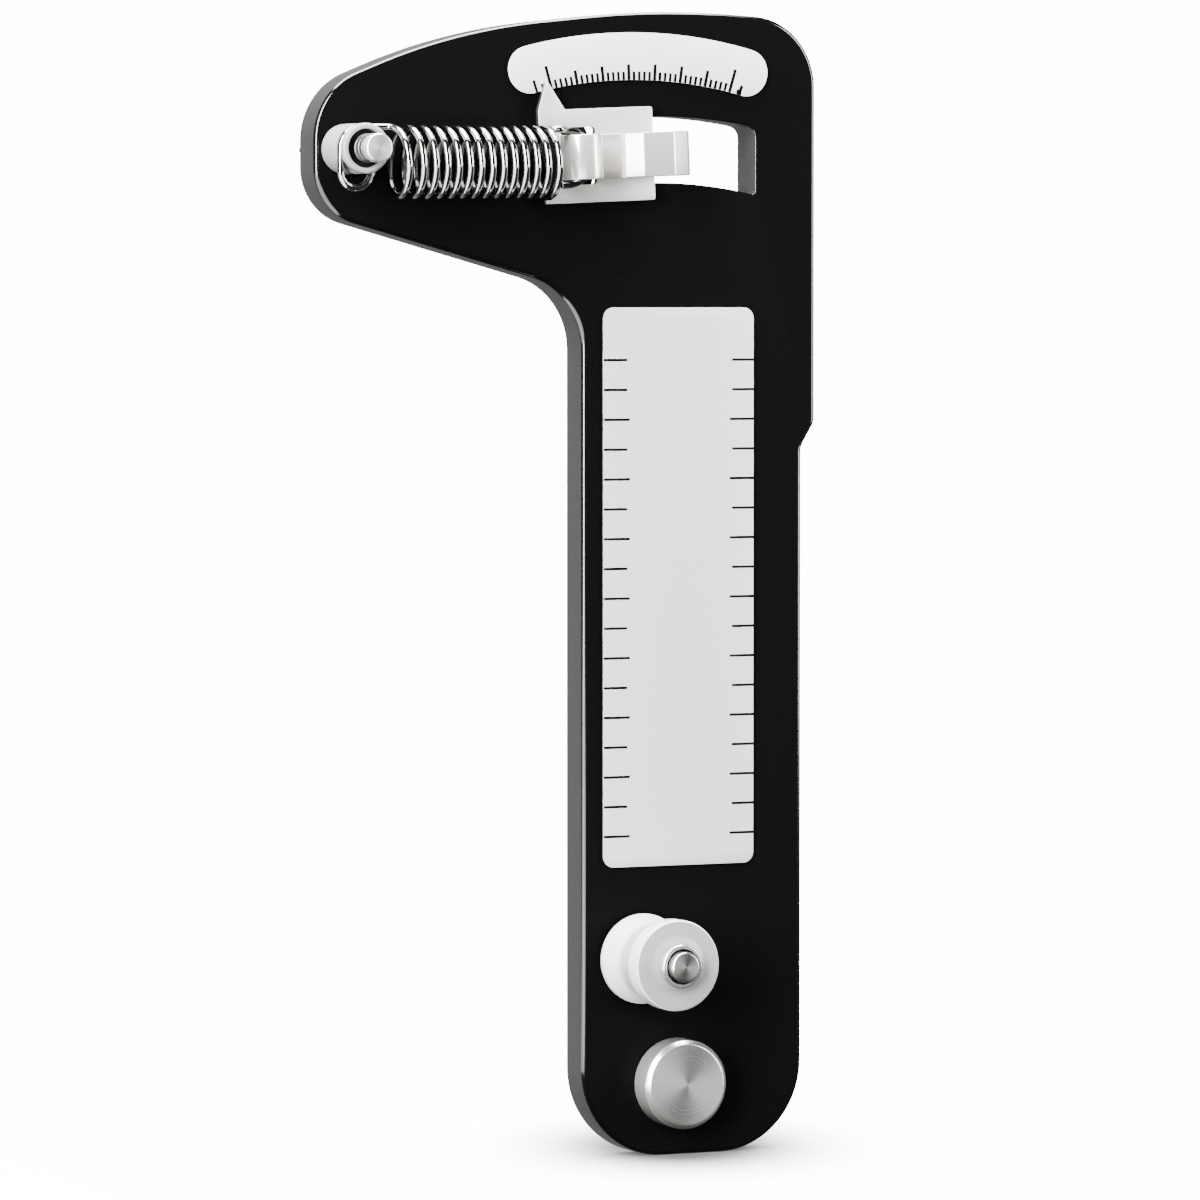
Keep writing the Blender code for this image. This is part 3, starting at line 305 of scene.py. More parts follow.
# %% Body
PIVOT = (-9.2, 112.8)
GUIDE_RADIUS = 130.0
WINDOW_HEIGHT = 15.9
HEAD_RIGHT = 32.8
STEM = (-29.6, 29.2)
HEIGHT = 275.8
CREST_FALL = 19.8
FOOT_ROUND = 21.5
STEP_ROUND = 4.5
WINDOW_ENDS = (-38.66, 16.4)
WINDOW_CORNERS = (3.0, 0.8, 3.0, 3.0)
RIM_ROUND = 1.2
WINDOW_ROUND = 0.4
ANCHOR = (-92.5, 242.1)
SHEAVE = (-14.8, 48.2)
POST = (-5.2, 17.7)

# The crest's corners from right to left: a share of the span, a share of the fall, and the rounding
# radius as a share of the span.
CREST_SHARES = (
    (1.0, 0.077, 0.129), (0.681, -0.04, 1.82), (0.355, 0.194, 1.25), (0.192, 0.48, 1.14), (0.0, 1.0, 0.133),
)

span = HEAD_RIGHT - BODY_LEFT
body_corners = [(STEM[0], 0, FOOT_ROUND), (STEM[1], 0, FOOT_ROUND)]
body_corners += [(STEM[1], 171.0, STEP_ROUND), (HEAD_RIGHT, 177.0, STEP_ROUND)]
body_corners += [
    (BODY_LEFT + span * along, HEIGHT - CREST_FALL * fall, span * radius)
    for along, fall, radius in CREST_SHARES
]
body_corners += [(BODY_LEFT, 227.5, 13.8), (STEM[0], 208.5, 17.9)]

window_radii = (GUIDE_RADIUS - WINDOW_HEIGHT / 2, GUIDE_RADIUS + WINDOW_HEIGHT / 2)
window_rights = [math.asin((WINDOW_ENDS[1] - PIVOT[0]) / radius) for radius in window_radii]
window_lefts = [math.asin((WINDOW_ENDS[0] - PIVOT[0]) / GUIDE_RADIUS)] * 2
window = rounded(band(PIVOT, window_radii, window_lefts, window_rights, WINDOW_CORNERS))[::-1]

loops = [
    (rounded(body_corners), round_edge(-BODY_THICKNESS, 0, RIM_ROUND, 8)),
    (window, round_edge(-BODY_THICKNESS, 0, WINDOW_ROUND, 5)),
]
for (u, z), radius in ((ANCHOR, 2.3), (SHEAVE, 2.8), (POST, 2.8)):
    loops.append((circle(u, z, radius), [(-BODY_THICKNESS, 0), (0, 0)]))
body = slab("body_finished", loops)
print("body:", len(body.data.polygons), "faces")

# %% [markdown]
# ## The two sheets
#
# Thin bright plates with bare faces. The scale is a curved band with round lobes at its ends.
# `SHEET` says how proud the sheets' backs and fronts stand.

# %% Sheets
SHEET = (0.3, 0.8)
SCALE_CENTRE = (-15.0, 148.3)
SCALE_RADII = (111.1, 122.45)
SCALE_HALF_LENGTH = 34.6
LOBE_ROUND = 5.6
CHART = (-24.4, 70.3, 15.7, 204.9)
CHART_ROUND = 2.7

sheet_edge = round_edge(*SHEET, 0.12, 2)
half_angle = SCALE_HALF_LENGTH / (sum(SCALE_RADII) / 2)
scale_band = band(SCALE_CENTRE, SCALE_RADII, [-half_angle] * 2, [half_angle] * 2, (LOBE_ROUND,) * 4, 1.06)
scale_sheet = slab("scale_sheet", [(rounded(scale_band), sheet_edge)])

chart_corners = [(CHART[side], CHART[end], CHART_ROUND) for side, end in ((0, 1), (2, 1), (2, 3), (0, 3))]
chart_sheet = slab("chart_sheet", [(rounded(chart_corners), sheet_edge)])
print("scale band is", round(SCALE_RADII[1] - SCALE_RADII[0], 2), "mm high")

# %% [markdown]
# ## The slider
#
# The slider plate carries the pointer and tilts a little to the left at rest, so it is drawn in its
# own axes: `across` and `up` from its middle. Its left edge is hollowed out to clear the coil, and
# two slots beside the eye clear the ends of the spring's hook. `SLIDER` holds the depths of its back
# and front.

# %% Slider plate
SLIDER_MIDDLE = (-27.0, 241.25)
SLIDER_TILT = math.radians(2.5)
SLIDER = (1.3, 2.8)
POINTER_TIP = (-12.47, 18.4)
SLOT_ACROSS, SLOT_UP = -4.9, 5.85
SLOT_LONG, SLOT_HIGH = 4.5, 1.0
SLOT_ROUND = 0.91


def on_slider(across, up):
    """A place on the tilted slider, as (u, z)."""
    moved = turned((across, up), SLIDER_TILT)
    return SLIDER_MIDDLE[0] + moved.x, SLIDER_MIDDLE[1] + moved.y


def slot(across, up):
    """A slot beside the eye."""
    signs = ((-1, -1), (1, -1), (1, 1), (-1, 1))
    corners = [on_slider(across + a * SLOT_LONG, up + b * SLOT_HIGH) for a, b in signs]
    return rounded([(*corner, SLOT_ROUND) for corner in corners])[::-1]


plate_shape = (
    (-14.33, -11.2, 0.4), (15.0, -11.2, 0.6), (15.0, 11.2, 0.6), (-8.0, 11.2, 0.6), (*POINTER_TIP, 0.4),
    (-15.0, 11.2, 0.6), (-15.0, 7.34, 0.6), (-11.75, 7.34, 0.6), (-6.65, -2.33, 15.4),
)
plate_outline = rounded([(*on_slider(a, b), r) for a, b, r in plate_shape])
plate_loops = [(plate_outline, round_edge(*SLIDER, 0.2, 3))]
for up in (SLOT_UP, -SLOT_UP):
    plate_loops.append((slot(SLOT_ACROSS, up), round_edge(*SLIDER, 0.15, 2)))
slider_plate = slab("slider_plate", plate_loops)
print("pointer tip at", [round(v, 1) for v in on_slider(*POINTER_TIP)])

# %% [markdown]
# ## The hook strip
#
# One strip of bent sheet. Its middle line is drawn from the side, as (across, depth): a rounded
# tongue lies on the foot and rises in an S to the eye, the eye rolls round the spring's hook, a flat
# foot runs to the right, and four folds turn back to the left as the hook for the wire. A rounded
# section is then swept along that line, and it narrows over the tongue's tip.

# %% Hook strip
STRIP = 1.5
STRIP_WIDTH = 10.7
STRIP_UP = -0.3
STRIP_MIDDLE = 3.85
EYE_BEND = 4.35
EYE = (-6.4, STRIP_MIDDLE + EYE_BEND)
TIP_ROUND = 6.6
STRIP_EDGE = 0.3
STRIP_STEPS = 48
TONGUE_END, TONGUE_GAP = -0.1, 0.3
TIP_PULL, CROWN_PULL = 2.2, 4.8


def s_curve(start, start_pull, end_pull, end, steps):
    """A smooth curve that leaves and arrives along its two pulls."""
    points = []
    for step in range(steps):
        done = step / steps
        left = 1 - done
        pulled = start * left ** 3 + start_pull * 3 * done * left ** 2 + end_pull * 3 * done ** 2 * left
        points.append(pulled + end * done ** 3)
    return points


def strip_line():
    """Middle line of the strip, from the tongue's tip to the lip's end."""
    tip = Vector((TONGUE_END, STRIP_MIDDLE + STRIP + TONGUE_GAP))
    crown = Vector((EYE[0], EYE[1] + EYE_BEND))
    tip_pull, crown_pull = tip - Vector((TIP_PULL, 0)), crown + Vector((CROWN_PULL, 0))
    path = s_curve(tip, tip_pull, crown_pull, crown, STRIP_STEPS)
    for step in range(STRIP_STEPS + 1):
        angle = math.pi / 2 + math.pi * step / STRIP_STEPS
        path.append(Vector((EYE[0] + EYE_BEND * math.cos(angle), EYE[1] + EYE_BEND * math.sin(angle))))
    foot_start = path.pop()
    lip = STRIP_MIDDLE + 8.5
    return path + bent([
        foot_start, (17.0, STRIP_MIDDLE, 1.7), (20.4, STRIP_MIDDLE + 2.9, 1.7), (20.1, lip - 1.9, 1.2),
        (15.4, lip, 0.9), (7.4, lip, 0.9), (1.7, lip + 1.7),
    ])


def sweep_strip(name):
    """The strip's rounded section swept along its line."""
    path = strip_line()
    mesh = bmesh.new()
    rings = []
    travelled = 0
    for index, here in enumerate(path):
        before, after = path[max(index - 1, 0)], path[min(index + 1, len(path) - 1)]
        travelled += (here - path[max(index - 1, 0)]).length
        along = (after - before).normalized()
        normal = Vector((-along.y, along.x))
        half = STRIP_WIDTH / 2
        if travelled < TIP_ROUND:
            half = min(half, max(math.sqrt(travelled * (2 * TIP_ROUND - travelled)), 2 * STRIP_EDGE))
        section = []
        for out_sign, up_sign, start in ((1, 1, 90), (-1, 1, 0), (-1, -1, -90), (1, -1, -180)):
            for step in range(4):
                a = math.radians(start - 90 * step / 3)
                out = out_sign * (STRIP / 2 - STRIP_EDGE) + STRIP_EDGE * math.sin(a)
                up = up_sign * (half - STRIP_EDGE) + STRIP_EDGE * math.cos(a)
                section.append((out, up))
        ring = []
        for out, up in section:
            across, depth = here + normal * out
            u, z = on_slider(across, up + STRIP_UP)
            ring.append(mesh.verts.new(place(u, depth, z)))
        rings.append(ring)
    skin(mesh, rings)
    mesh.faces.new(rings[0])
    mesh.faces.new(rings[-1])
    return finish_mesh(name, mesh, 50)


hook_strip = sweep_strip("hook_strip")
print("strip line:", round(sum((b - a).length for a, b in zip(strip_line(), strip_line()[1:])), 1), "mm long")

# %% [markdown]
# ## The spring
#
# The coil is drawn on its own unrolled cylinder, where a helix is a straight line and the bend into
# each leg is a plain arc. Rolled up again, the wire leaves the winding smoothly. A loop round the
# anchor bush and a hook through the slider's eye close the ends.

# %% Spring
WIRE = 0.83
COIL_RADIUS = 8.05
COIL_TURNS = 14
TURN_STEPS = 40
COIL = (-86.4, -40.8)
OPEN_TURN = 0.04
COIL_Z, COIL_DEPTH = 239.1, 12.2
LEG_BEND = 2.0
LEG_STEPS = 12
LOOP_RADIUS = 5.4
LOOP_FOOT = 3.9
LOOP_HEIGHT = 14.3
LOOP_LEFT = -97.8
LOOP_END = math.radians(-25)
LOOP_RISE = 0.8
LOOP_STEPS = 32
EYE_HOOK = 6.55
EYE_INSIDE = 3.6
EYE_CLEAR = 0.3
HOOK_FORWARD = 0.54
WIRE_FLANK = 0.7
HOOK_STEPS = 48


def coil_line():
    """The coil and its two lead-ins."""
    length = math.tau * COIL_RADIUS * COIL_TURNS
    advance = (COIL[1] - COIL[0] - 2 * LEG_BEND) / (length - 2 * LEG_BEND)
    sweep = math.pi / 2 - math.atan(advance)
    lead = [
        (COIL[0] + LEG_BEND * math.sin(a), LEG_BEND * (1 - math.cos(a)))
        for a in (sweep * step / LEG_STEPS for step in range(LEG_STEPS + 1))
    ]
    first_u, first_l = lead[-1]
    last_u, last_l = sum(COIL) - first_u, length - first_l
    steps = COIL_TURNS * TURN_STEPS
    middle = []
    for t in (step / steps for step in range(1, steps)):
        opened = (t + OPEN_TURN * (1 - (1 - t) ** COIL_TURNS)) / (1 + OPEN_TURN)
        middle.append((first_u + (last_u - first_u) * opened, first_l + (last_l - first_l) * t))
    out = [(sum(COIL) - u, length - l) for u, l in lead[::-1]]
    line = []
    for u, l in lead + middle + out:
        a = l / COIL_RADIUS
        line.append((u, COIL_DEPTH + COIL_RADIUS * math.sin(a), COIL_Z + COIL_RADIUS * math.cos(a)))
    return line


def loop_line():
    """The loop round the anchor bush, from its cut end: a small bend below, a wide one above."""
    top = COIL_Z + COIL_RADIUS
    foot = Vector((LOOP_LEFT + LOOP_FOOT, top - LOOP_HEIGHT + LOOP_FOOT))
    head = Vector((LOOP_LEFT + LOOP_RADIUS, top - LOOP_RADIUS))
    flat = [foot + turned((LOOP_FOOT, 3 * WIRE), LOOP_END)]
    bends = ((foot, LOOP_FOOT, LOOP_END, -math.pi), (head, LOOP_RADIUS, -math.pi, -1.5 * math.pi))
    for centre, radius, begin, end in bends:
        for step in range(LOOP_STEPS + 1):
            flat.append(centre + turned((radius, 0), begin + (end - begin) * step / LOOP_STEPS))
    return [(u, COIL_DEPTH + LOOP_RISE * (COIL[0] - u) / (COIL[0] - LOOP_LEFT), z) for u, z in flat]


def eye_line():
    """The hook through the slider's eye, to its cut end.

    Its bend passes the eye's left wall with a little room where it leaves the strip's two edges.
    """
    room = EYE_INSIDE - EYE_CLEAR - WIRE
    depth = EYE[1] + room * HOOK_FORWARD
    edge = STRIP_WIDTH / 2
    reach = depth - EYE[1] + WIRE * WIRE_FLANK
    wall = EYE[0] + EYE_CLEAR - math.sqrt(EYE_INSIDE ** 2 - reach ** 2)
    centre = wall - math.sqrt((EYE_HOOK - WIRE) ** 2 - edge ** 2)
    flat = []
    for step in range(HOOK_STEPS + 1):
        a = math.pi / 2 - math.pi * step / HOOK_STEPS
        flat.append((centre + EYE_HOOK * math.cos(a), EYE_HOOK * math.sin(a)))
    flat.append((centre - 2 * WIRE, -EYE_HOOK))
    line = []
    for across, up in flat:
        u, z = on_slider(across, up + STRIP_UP)
        line.append((u, depth, z))
    return line


def tube(name, line, radius, sides=14):
    """A round wire along a line, carried without twist, with slightly rounded ends."""
    points = [place(u, d, z) for u, d, z in line]
    mesh = bmesh.new()
    rings = []
    side = Vector((0, 1, 0))
    last = len(points) - 1
    for index, here in enumerate(points):
        along = (points[min(index + 1, last)] - points[max(index - 1, 0)]).normalized()
        side = (side - along * side.dot(along)).normalized()
        up = along.cross(side)
        caps = [(0, 1.0)]
        if index == 0:
            caps = [(0.0, 0.8), (0.12, 0.95), (0.3, 1.0)]
        if index == last:
            caps = [(-0.3, 1.0), (-0.12, 0.95), (0.0, 0.8)]
        for shift, width in caps:
            middle = here + along * shift * radius * MM
            rings.append([
                mesh.verts.new(middle + (side * math.cos(a) + up * math.sin(a)) * radius * width * MM)
                for a in (math.tau * k / sides for k in range(sides))
            ])
    skin(mesh, rings)
    mesh.faces.new(rings[0])
    mesh.faces.new(rings[-1])
    return finish_mesh(name, mesh, 60)


spring_line = loop_line() + coil_line() + eye_line()
spring = tube("spring_wire", spring_line, WIRE)
print("spring:", COIL_TURNS, "turns,", len(spring.data.polygons), "faces")

# %% [markdown]
# ## Turned parts
#
# Sheave, bushes, pins and post are all profiles of (radius, depth) spun about their axes. The
# profiles are rounded a little at every corner first.

# %% Turned parts
STUD_BACK = -BODY_THICKNESS - 5.36

sheave = lathe("sheave_turned", *SHEAVE, soften([
    (4.8, 1.4), (10.5, 1.4), (10.9, 1.8), (10.9, 3.2), (8.97, 5.73), (8.6, 6.65), (8.6, 8.05),
    (10.9, 17.6), (10.9, 22.0), (10.5, 22.4), (7.1, 22.4), (5.3, 23.0), (4.8, 23.0), (4.8, 12.0),
], 0.35) + [Vector((4.8, 1.4))])
sheave_bush = lathe("sheave_bush_turned", *SHEAVE, soften([
    (3.3, 1.4), (4.5, 1.4), (4.5, 23.3), (5.3, 23.3), (5.3, 24.6), (4.9, 25.0), (4.25, 25.0),
    (4.25, 23.9), (3.3, 23.9), (3.3, 12.0),
], 0.15) + [Vector((3.3, 1.4))])
sheave_axle = lathe("sheave_axle_turned", *SHEAVE, soften([
    (0, STUD_BACK), (2.1, STUD_BACK), (2.5, STUD_BACK + 0.4), (2.5, 0.3), (3.0, 0.3), (3.0, 24.2),
    (3.65, 24.2), (3.65, 26.5), (3.25, 26.9), (0, 26.9),
], 0.2))
post = lathe("post_turned", *POST, soften([
    (0, 7.5), (9.7, 7.5), (10.8, 6.4), (10.8, 0.3), (2.8, 0.3), (2.8, 5.3), (0, 5.3),
], 0.25), segments=160)
anchor_bush = lathe("anchor_bush_turned", *ANCHOR, soften([
    (2.7, 1.4), (4.3, 1.4), (5.43, 1.87), (5.9, 3.0), (5.9, 11.1), (3.91, 11.1), (3.91, 14.2), (5.9, 14.2),
    (5.9, 15.8), (5.5, 16.2), (4.6, 16.2), (4.6, 14.6), (2.7, 14.6), (2.7, 8.0),
], 0.2) + [Vector((2.7, 1.4))])
pin_profile = [(0, STUD_BACK), (1.6, STUD_BACK), (2.0, STUD_BACK + 0.4), (2.0, 0.3), (2.4, 0.3)]
pin_profile += [(2.4, 14.9), (3.0, 14.9)]
for start in (15.62, 17.54, 19.46):
    pin_profile += [(3.0, start), (3.4, start + 0.24), (3.4, start + 0.96), (3.0, start + 1.2)]
pin_profile += [(3.0, 21.38), (3.4, 21.62), (3.4, 23.6), (3.0, 24.0), (0, 24.0)]
anchor_pin = lathe("anchor_pin_turned", *ANCHOR, soften(pin_profile, 0.15))
turned_parts = (sheave, sheave_bush, sheave_axle, post, anchor_bush, anchor_pin)
print("turned parts:", sum(len(piece.data.polygons) for piece in turned_parts), "faces")

# %% [markdown]
# ## Ruling the scale and the chart
#
# All marks are one small block, placed many times. A mesh of loose points says where each mark is,
# and three attributes say how it is turned, how big it is and which plate it is on. Geometry Nodes
# copies the block onto the points, makes the copies real and gives them their ink. The result is
# then kept as a plain mesh.

# %% Marks
MARK_HEIGHT = 0.04
MAJOR_DEGREES = (-12.0, -8.45, -4.9, -1.4, 2.1, 5.6, 9.05, 12.5)
MAJOR_LENGTHS = (5.6, 3.3, 3.5, 3.7, 3.8, 3.9, 3.9, 5.7)
MAJOR_THICKNESS = 0.8
MINOR_LENGTH = 2.0
MINOR_THICKNESS = 0.68
END_MARKS = ((-14.0, 3.0, 0.7), (-13.1, 1.7, 0.6), (13.9, 2.3, 0.8), (13.7, 1.2, 1.1))
LEAN_SHARE = 1.35
SCALE_INSET = 0.02
CHART_ROWS = 17
CHART_TOP_ROW = 192.3
CHART_PITCH = 7.16
CHART_THICKNESS = 0.6
LONG_MARKS, SHORT_MARKS = (6.9, 6.4), (6.2, 5.8)
CHART_INSET = 0.05


def scale_marks():
    """Marks on the scale as (u, z, length, thickness, lean), from the lower edge up."""
    majors = [math.radians(degrees) for degrees in MAJOR_DEGREES]
    marks = []
    for index, angle in enumerate(majors):
        marks.append((angle, MAJOR_LENGTHS[index], MAJOR_THICKNESS))
        if index + 1 < len(majors):
            step = (majors[index + 1] - angle) / 5
            marks += [(angle + step * k, MINOR_LENGTH, MINOR_THICKNESS) for k in range(1, 5)]
    marks += [(math.radians(degrees), length, thickness) for degrees, length, thickness in END_MARKS]
    out = []
    for angle, length, thickness in marks:
        lean = angle * LEAN_SHARE
        foot = on_arc(SCALE_CENTRE, SCALE_RADII[0] + SCALE_INSET, angle)
        middle = (foot[0] + math.sin(lean) * length / 2, foot[1] + math.cos(lean) * length / 2)
        out.append((*middle, length, thickness, lean))
    return out


def chart_marks():
    """Marks along both sides of the chart. From the third row on, every second row is longer."""
    out = []
    for row in range(CHART_ROWS):
        z = CHART_TOP_ROW - row * CHART_PITCH
        long_row = row >= 2 and row % 2 == 0
        left, right = LONG_MARKS if long_row else SHORT_MARKS
        out.append((CHART[0] + CHART_INSET + left / 2, z, CHART_THICKNESS, left, 0))
        out.append((CHART[2] - CHART_INSET - right / 2, z, CHART_THICKNESS, right, 0))
    return out


def mark_tree(finish):
    """Geometry Nodes: a block on every point, made real and inked."""
    tree = bpy.data.node_groups.new("marks_on_points", "GeometryNodeTree")
    tree.interface.new_socket("Geometry", in_out="INPUT", socket_type="NodeSocketGeometry")
    tree.interface.new_socket("Geometry", in_out="OUTPUT", socket_type="NodeSocketGeometry")
    add = tree.nodes.new
    source, result = add("NodeGroupInput"), add("NodeGroupOutput")
    block = add("GeometryNodeMeshCube")
    block.inputs["Size"].default_value = (1, 1, 1)
    turn, size = add("GeometryNodeInputNamedAttribute"), add("GeometryNodeInputNamedAttribute")
    for node, name in ((turn, "turn"), (size, "size")):
        node.data_type = "FLOAT_VECTOR"
        node.inputs["Name"].default_value = name
    copies, real = add("GeometryNodeInstanceOnPoints"), add("GeometryNodeRealizeInstances")
    inked = add("GeometryNodeSetMaterial")
    inked.inputs["Material"].default_value = finish
    link = tree.links.new
    link(source.outputs["Geometry"], copies.inputs["Points"])
    link(block.outputs["Mesh"], copies.inputs["Instance"])
    link(turn.outputs["Attribute"], copies.inputs["Rotation"])
    link(size.outputs["Attribute"], copies.inputs["Scale"])
    link(copies.outputs["Instances"], real.inputs["Geometry"])
    link(real.outputs["Geometry"], inked.inputs["Geometry"])
    link(inked.outputs["Geometry"], result.inputs["Geometry"])
    return tree


def rule(name, marks, tree, finish):
    """Marks as one plain mesh."""
    points = bpy.data.meshes.new(name + "_points")
    points.from_pydata([place(u, SHEET[1] + MARK_HEIGHT / 2, z) for u, z, *rest in marks], [], [])
    turns = points.attributes.new("turn", "FLOAT_VECTOR", "POINT")
    sizes = points.attributes.new("size", "FLOAT_VECTOR", "POINT")
    for index, (u, z, tall, wide, lean) in enumerate(marks):
        turns.data[index].vector = (0, lean, 0)
        sizes.data[index].vector = (wide * MM, MARK_HEIGHT * MM, tall * MM)
    carrier = new_object(name + "_carrier", points)
    carrier.modifiers.new("marks", "NODES").node_group = tree
    graph = bpy.context.evaluated_depsgraph_get()
    data = bpy.data.meshes.new_from_object(carrier.evaluated_get(graph), depsgraph=graph)
    data.name = name
    bpy.data.objects.remove(carrier, do_unlink=True)
    data.materials.clear()
    data.materials.append(finish)
    return new_object(name, data)


ink = bpy.data.materials.new("black_ink")
ink.use_nodes = True
ink_shader = ink.node_tree.nodes["Principled BSDF"]
ink_shader.inputs["Base Color"].default_value = (0.002, 0.002, 0.002, 1)
ink_shader.inputs["Roughness"].default_value = 0.6
ink_shader.inputs["Specular IOR Level"].default_value = 0.03
marks_tree = mark_tree(ink)
scale_ticks = rule("scale_marks", scale_marks(), marks_tree, ink)
chart_ticks = rule("chart_marks", chart_marks(), marks_tree, ink)
print("marks:", len(scale_marks()), "on the scale,", len(chart_marks()), "on the chart")

# %% [markdown]
# ## Metals and plastics
#
# Three small node groups hold the effects. `fine_grain` stretches noise into brushed streaks, and
# `turning_marks` makes fine rings about an axis along Y, with a fan of painted highlight. Both give a
# tone about 1 for the colour and a height for a bump. The third, the rear shade, gives a tone that
# falls towards the body's front: painted shade on the spring's rear strands. Everything else is a
# constant on the shader.

# %% Shared effects
def new_group(name, inputs, outputs):
    """A shader group with float or vector sockets, and its input and output nodes."""
    group = bpy.data.node_groups.new(name, "ShaderNodeTree")
    for label, kind, value in inputs:
        socket = group.interface.new_socket(label, in_out="INPUT", socket_type=kind)
        socket.default_value = value
    for label in outputs:
        group.interface.new_socket(label, in_out="OUTPUT", socket_type="NodeSocketFloat")
    return group, group.nodes.new("NodeGroupInput"), group.nodes.new("NodeGroupOutput")


def new_nodes(tree, *kinds):
    """New shader nodes of these kinds."""
    return [tree.nodes.new("ShaderNode" + kind) for kind in kinds]


def fine_grain():
    """Streaks: noise at very different scales along the three axes."""
    group, source, result = new_group(
        "fine_grain",
        [("Density", "NodeSocketVector", (300, 300, 300)), ("Strength", "NodeSocketFloat", 0.1)],
        ["Tone", "Height"],
    )
    link = group.links.new
    where, stretch, noise = new_nodes(group, "TexCoord", "VectorMath", "TexNoise")
    stretch.operation = "MULTIPLY"
    noise.inputs["Scale"].default_value = 1.0
    noise.inputs["Detail"].default_value = 3.0
    noise.inputs["Roughness"].default_value = 0.65
    centre, scaled, tone = new_nodes(group, "Math", "Math", "Math")
    centre.operation, scaled.operation, tone.operation = "SUBTRACT", "MULTIPLY", "ADD"
    centre.inputs[1].default_value = 0.5
    tone.inputs[1].default_value = 1.0
    link(where.outputs["Object"], stretch.inputs[0])
    link(source.outputs["Density"], stretch.inputs[1])
    link(stretch.outputs["Vector"], noise.inputs["Vector"])
    link(noise.outputs["Fac"], centre.inputs[0])
    link(centre.outputs["Value"], scaled.inputs[0])
    link(source.outputs["Strength"], scaled.inputs[1])
    link(scaled.outputs["Value"], tone.inputs[0])
    link(tone.outputs["Value"], result.inputs["Tone"])
    link(noise.outputs["Fac"], result.inputs["Height"])
    return group


def turning_marks():
    """Rings about a centre, and a faint fan of tone: a painted highlight, like the sheen on a turned end."""
    group, source, result = new_group(
        "turning_marks",
        [("Centre", "NodeSocketVector", (0, 0, 0)), ("Rings per metre", "NodeSocketFloat", 4000.0),
         ("Painted fan", "NodeSocketFloat", 0.0), ("Contrast", "NodeSocketFloat", 0.0)],
        ["Tone", "Height"],
    )
    link = group.links.new
    where, shift, flat = new_nodes(group, "TexCoord", "VectorMath", "VectorMath")
    shift.operation, flat.operation = "SUBTRACT", "MULTIPLY"
    flat.inputs[1].default_value = (1, 0, 1)
    reach, rings, noise = new_nodes(group, "VectorMath", "Math", "TexNoise")
    reach.operation, rings.operation = "LENGTH", "MULTIPLY"
    noise.noise_dimensions = "1D"
    noise.inputs["Scale"].default_value = 1.0
    noise.inputs["Detail"].default_value = 2.0
    link(where.outputs["Object"], shift.inputs[0])
    link(source.outputs["Centre"], shift.inputs[1])
    link(shift.outputs["Vector"], flat.inputs[0])
    link(flat.outputs["Vector"], reach.inputs[0])
    link(reach.outputs["Value"], rings.inputs[0])
    link(source.outputs["Rings per metre"], rings.inputs[1])
    link(rings.outputs["Value"], noise.inputs["W"])
    # The fan: a tone that rises and falls twice round the centre, a painted highlight.
    split, angle, double, wave = new_nodes(group, "SeparateXYZ", "Math", "Math", "Math")
    angle.operation, double.operation, wave.operation = "ARCTAN2", "MULTIPLY_ADD", "COSINE"
    double.inputs[1].default_value = 2.0
    double.inputs[2].default_value = 0.6
    scaled, tone, even, ringed = new_nodes(group, "Math", "Math", "Math", "Math")
    scaled.operation, tone.operation = "MULTIPLY", "ADD"
    even.operation, ringed.operation = "SUBTRACT", "MULTIPLY_ADD"
    even.inputs[1].default_value = 0.5
    ringed.inputs[2].default_value = 1.0
    link(noise.outputs["Fac"], even.inputs[0])
    link(even.outputs["Value"], ringed.inputs[0])
    link(source.outputs["Contrast"], ringed.inputs[1])
    link(ringed.outputs["Value"], tone.inputs[1])
    link(flat.outputs["Vector"], split.inputs[0])
    link(split.outputs["Z"], angle.inputs[0])
    link(split.outputs["X"], angle.inputs[1])
    link(angle.outputs["Value"], double.inputs[0])
    link(double.outputs["Value"], wave.inputs[0])
    link(wave.outputs["Value"], scaled.inputs[0])
    link(source.outputs["Painted fan"], scaled.inputs[1])
    link(scaled.outputs["Value"], tone.inputs[0])
    link(tone.outputs["Value"], result.inputs["Tone"])
    link(noise.outputs["Fac"], result.inputs["Height"])
    return group


def painted_rear_shade():
    """Dims what lies deep, towards the plate: painted shade between the strands of a spring."""
    group, source, result = new_group(
        "painted_rear_shade",
        [("From", "NodeSocketFloat", 0.0), ("To", "NodeSocketFloat", 1.0), ("Least", "NodeSocketFloat", 0.1)],
        ["Tone"],
    )
    link = group.links.new
    where, split, ramp = new_nodes(group, "TexCoord", "SeparateXYZ", "MapRange")
    ramp.interpolation_type = "SMOOTHSTEP"
    link(where.outputs["Object"], split.inputs[0])
    link(split.outputs["Y"], ramp.inputs["Value"])
    link(source.outputs["From"], ramp.inputs["From Min"])
    link(source.outputs["To"], ramp.inputs["From Max"])
    link(source.outputs["Least"], ramp.inputs["To Min"])
    link(ramp.outputs["Result"], result.inputs["Tone"])
    return group


grain_group, rings_group, shade_group = fine_grain(), turning_marks(), painted_rear_shade()
print("groups:", grain_group.name, rings_group.name, shade_group.name)

# %% [markdown]
# A material may multiply its colour by one group's tone, and may let the height stir its surface by
# a few thousandths of a millimetre.

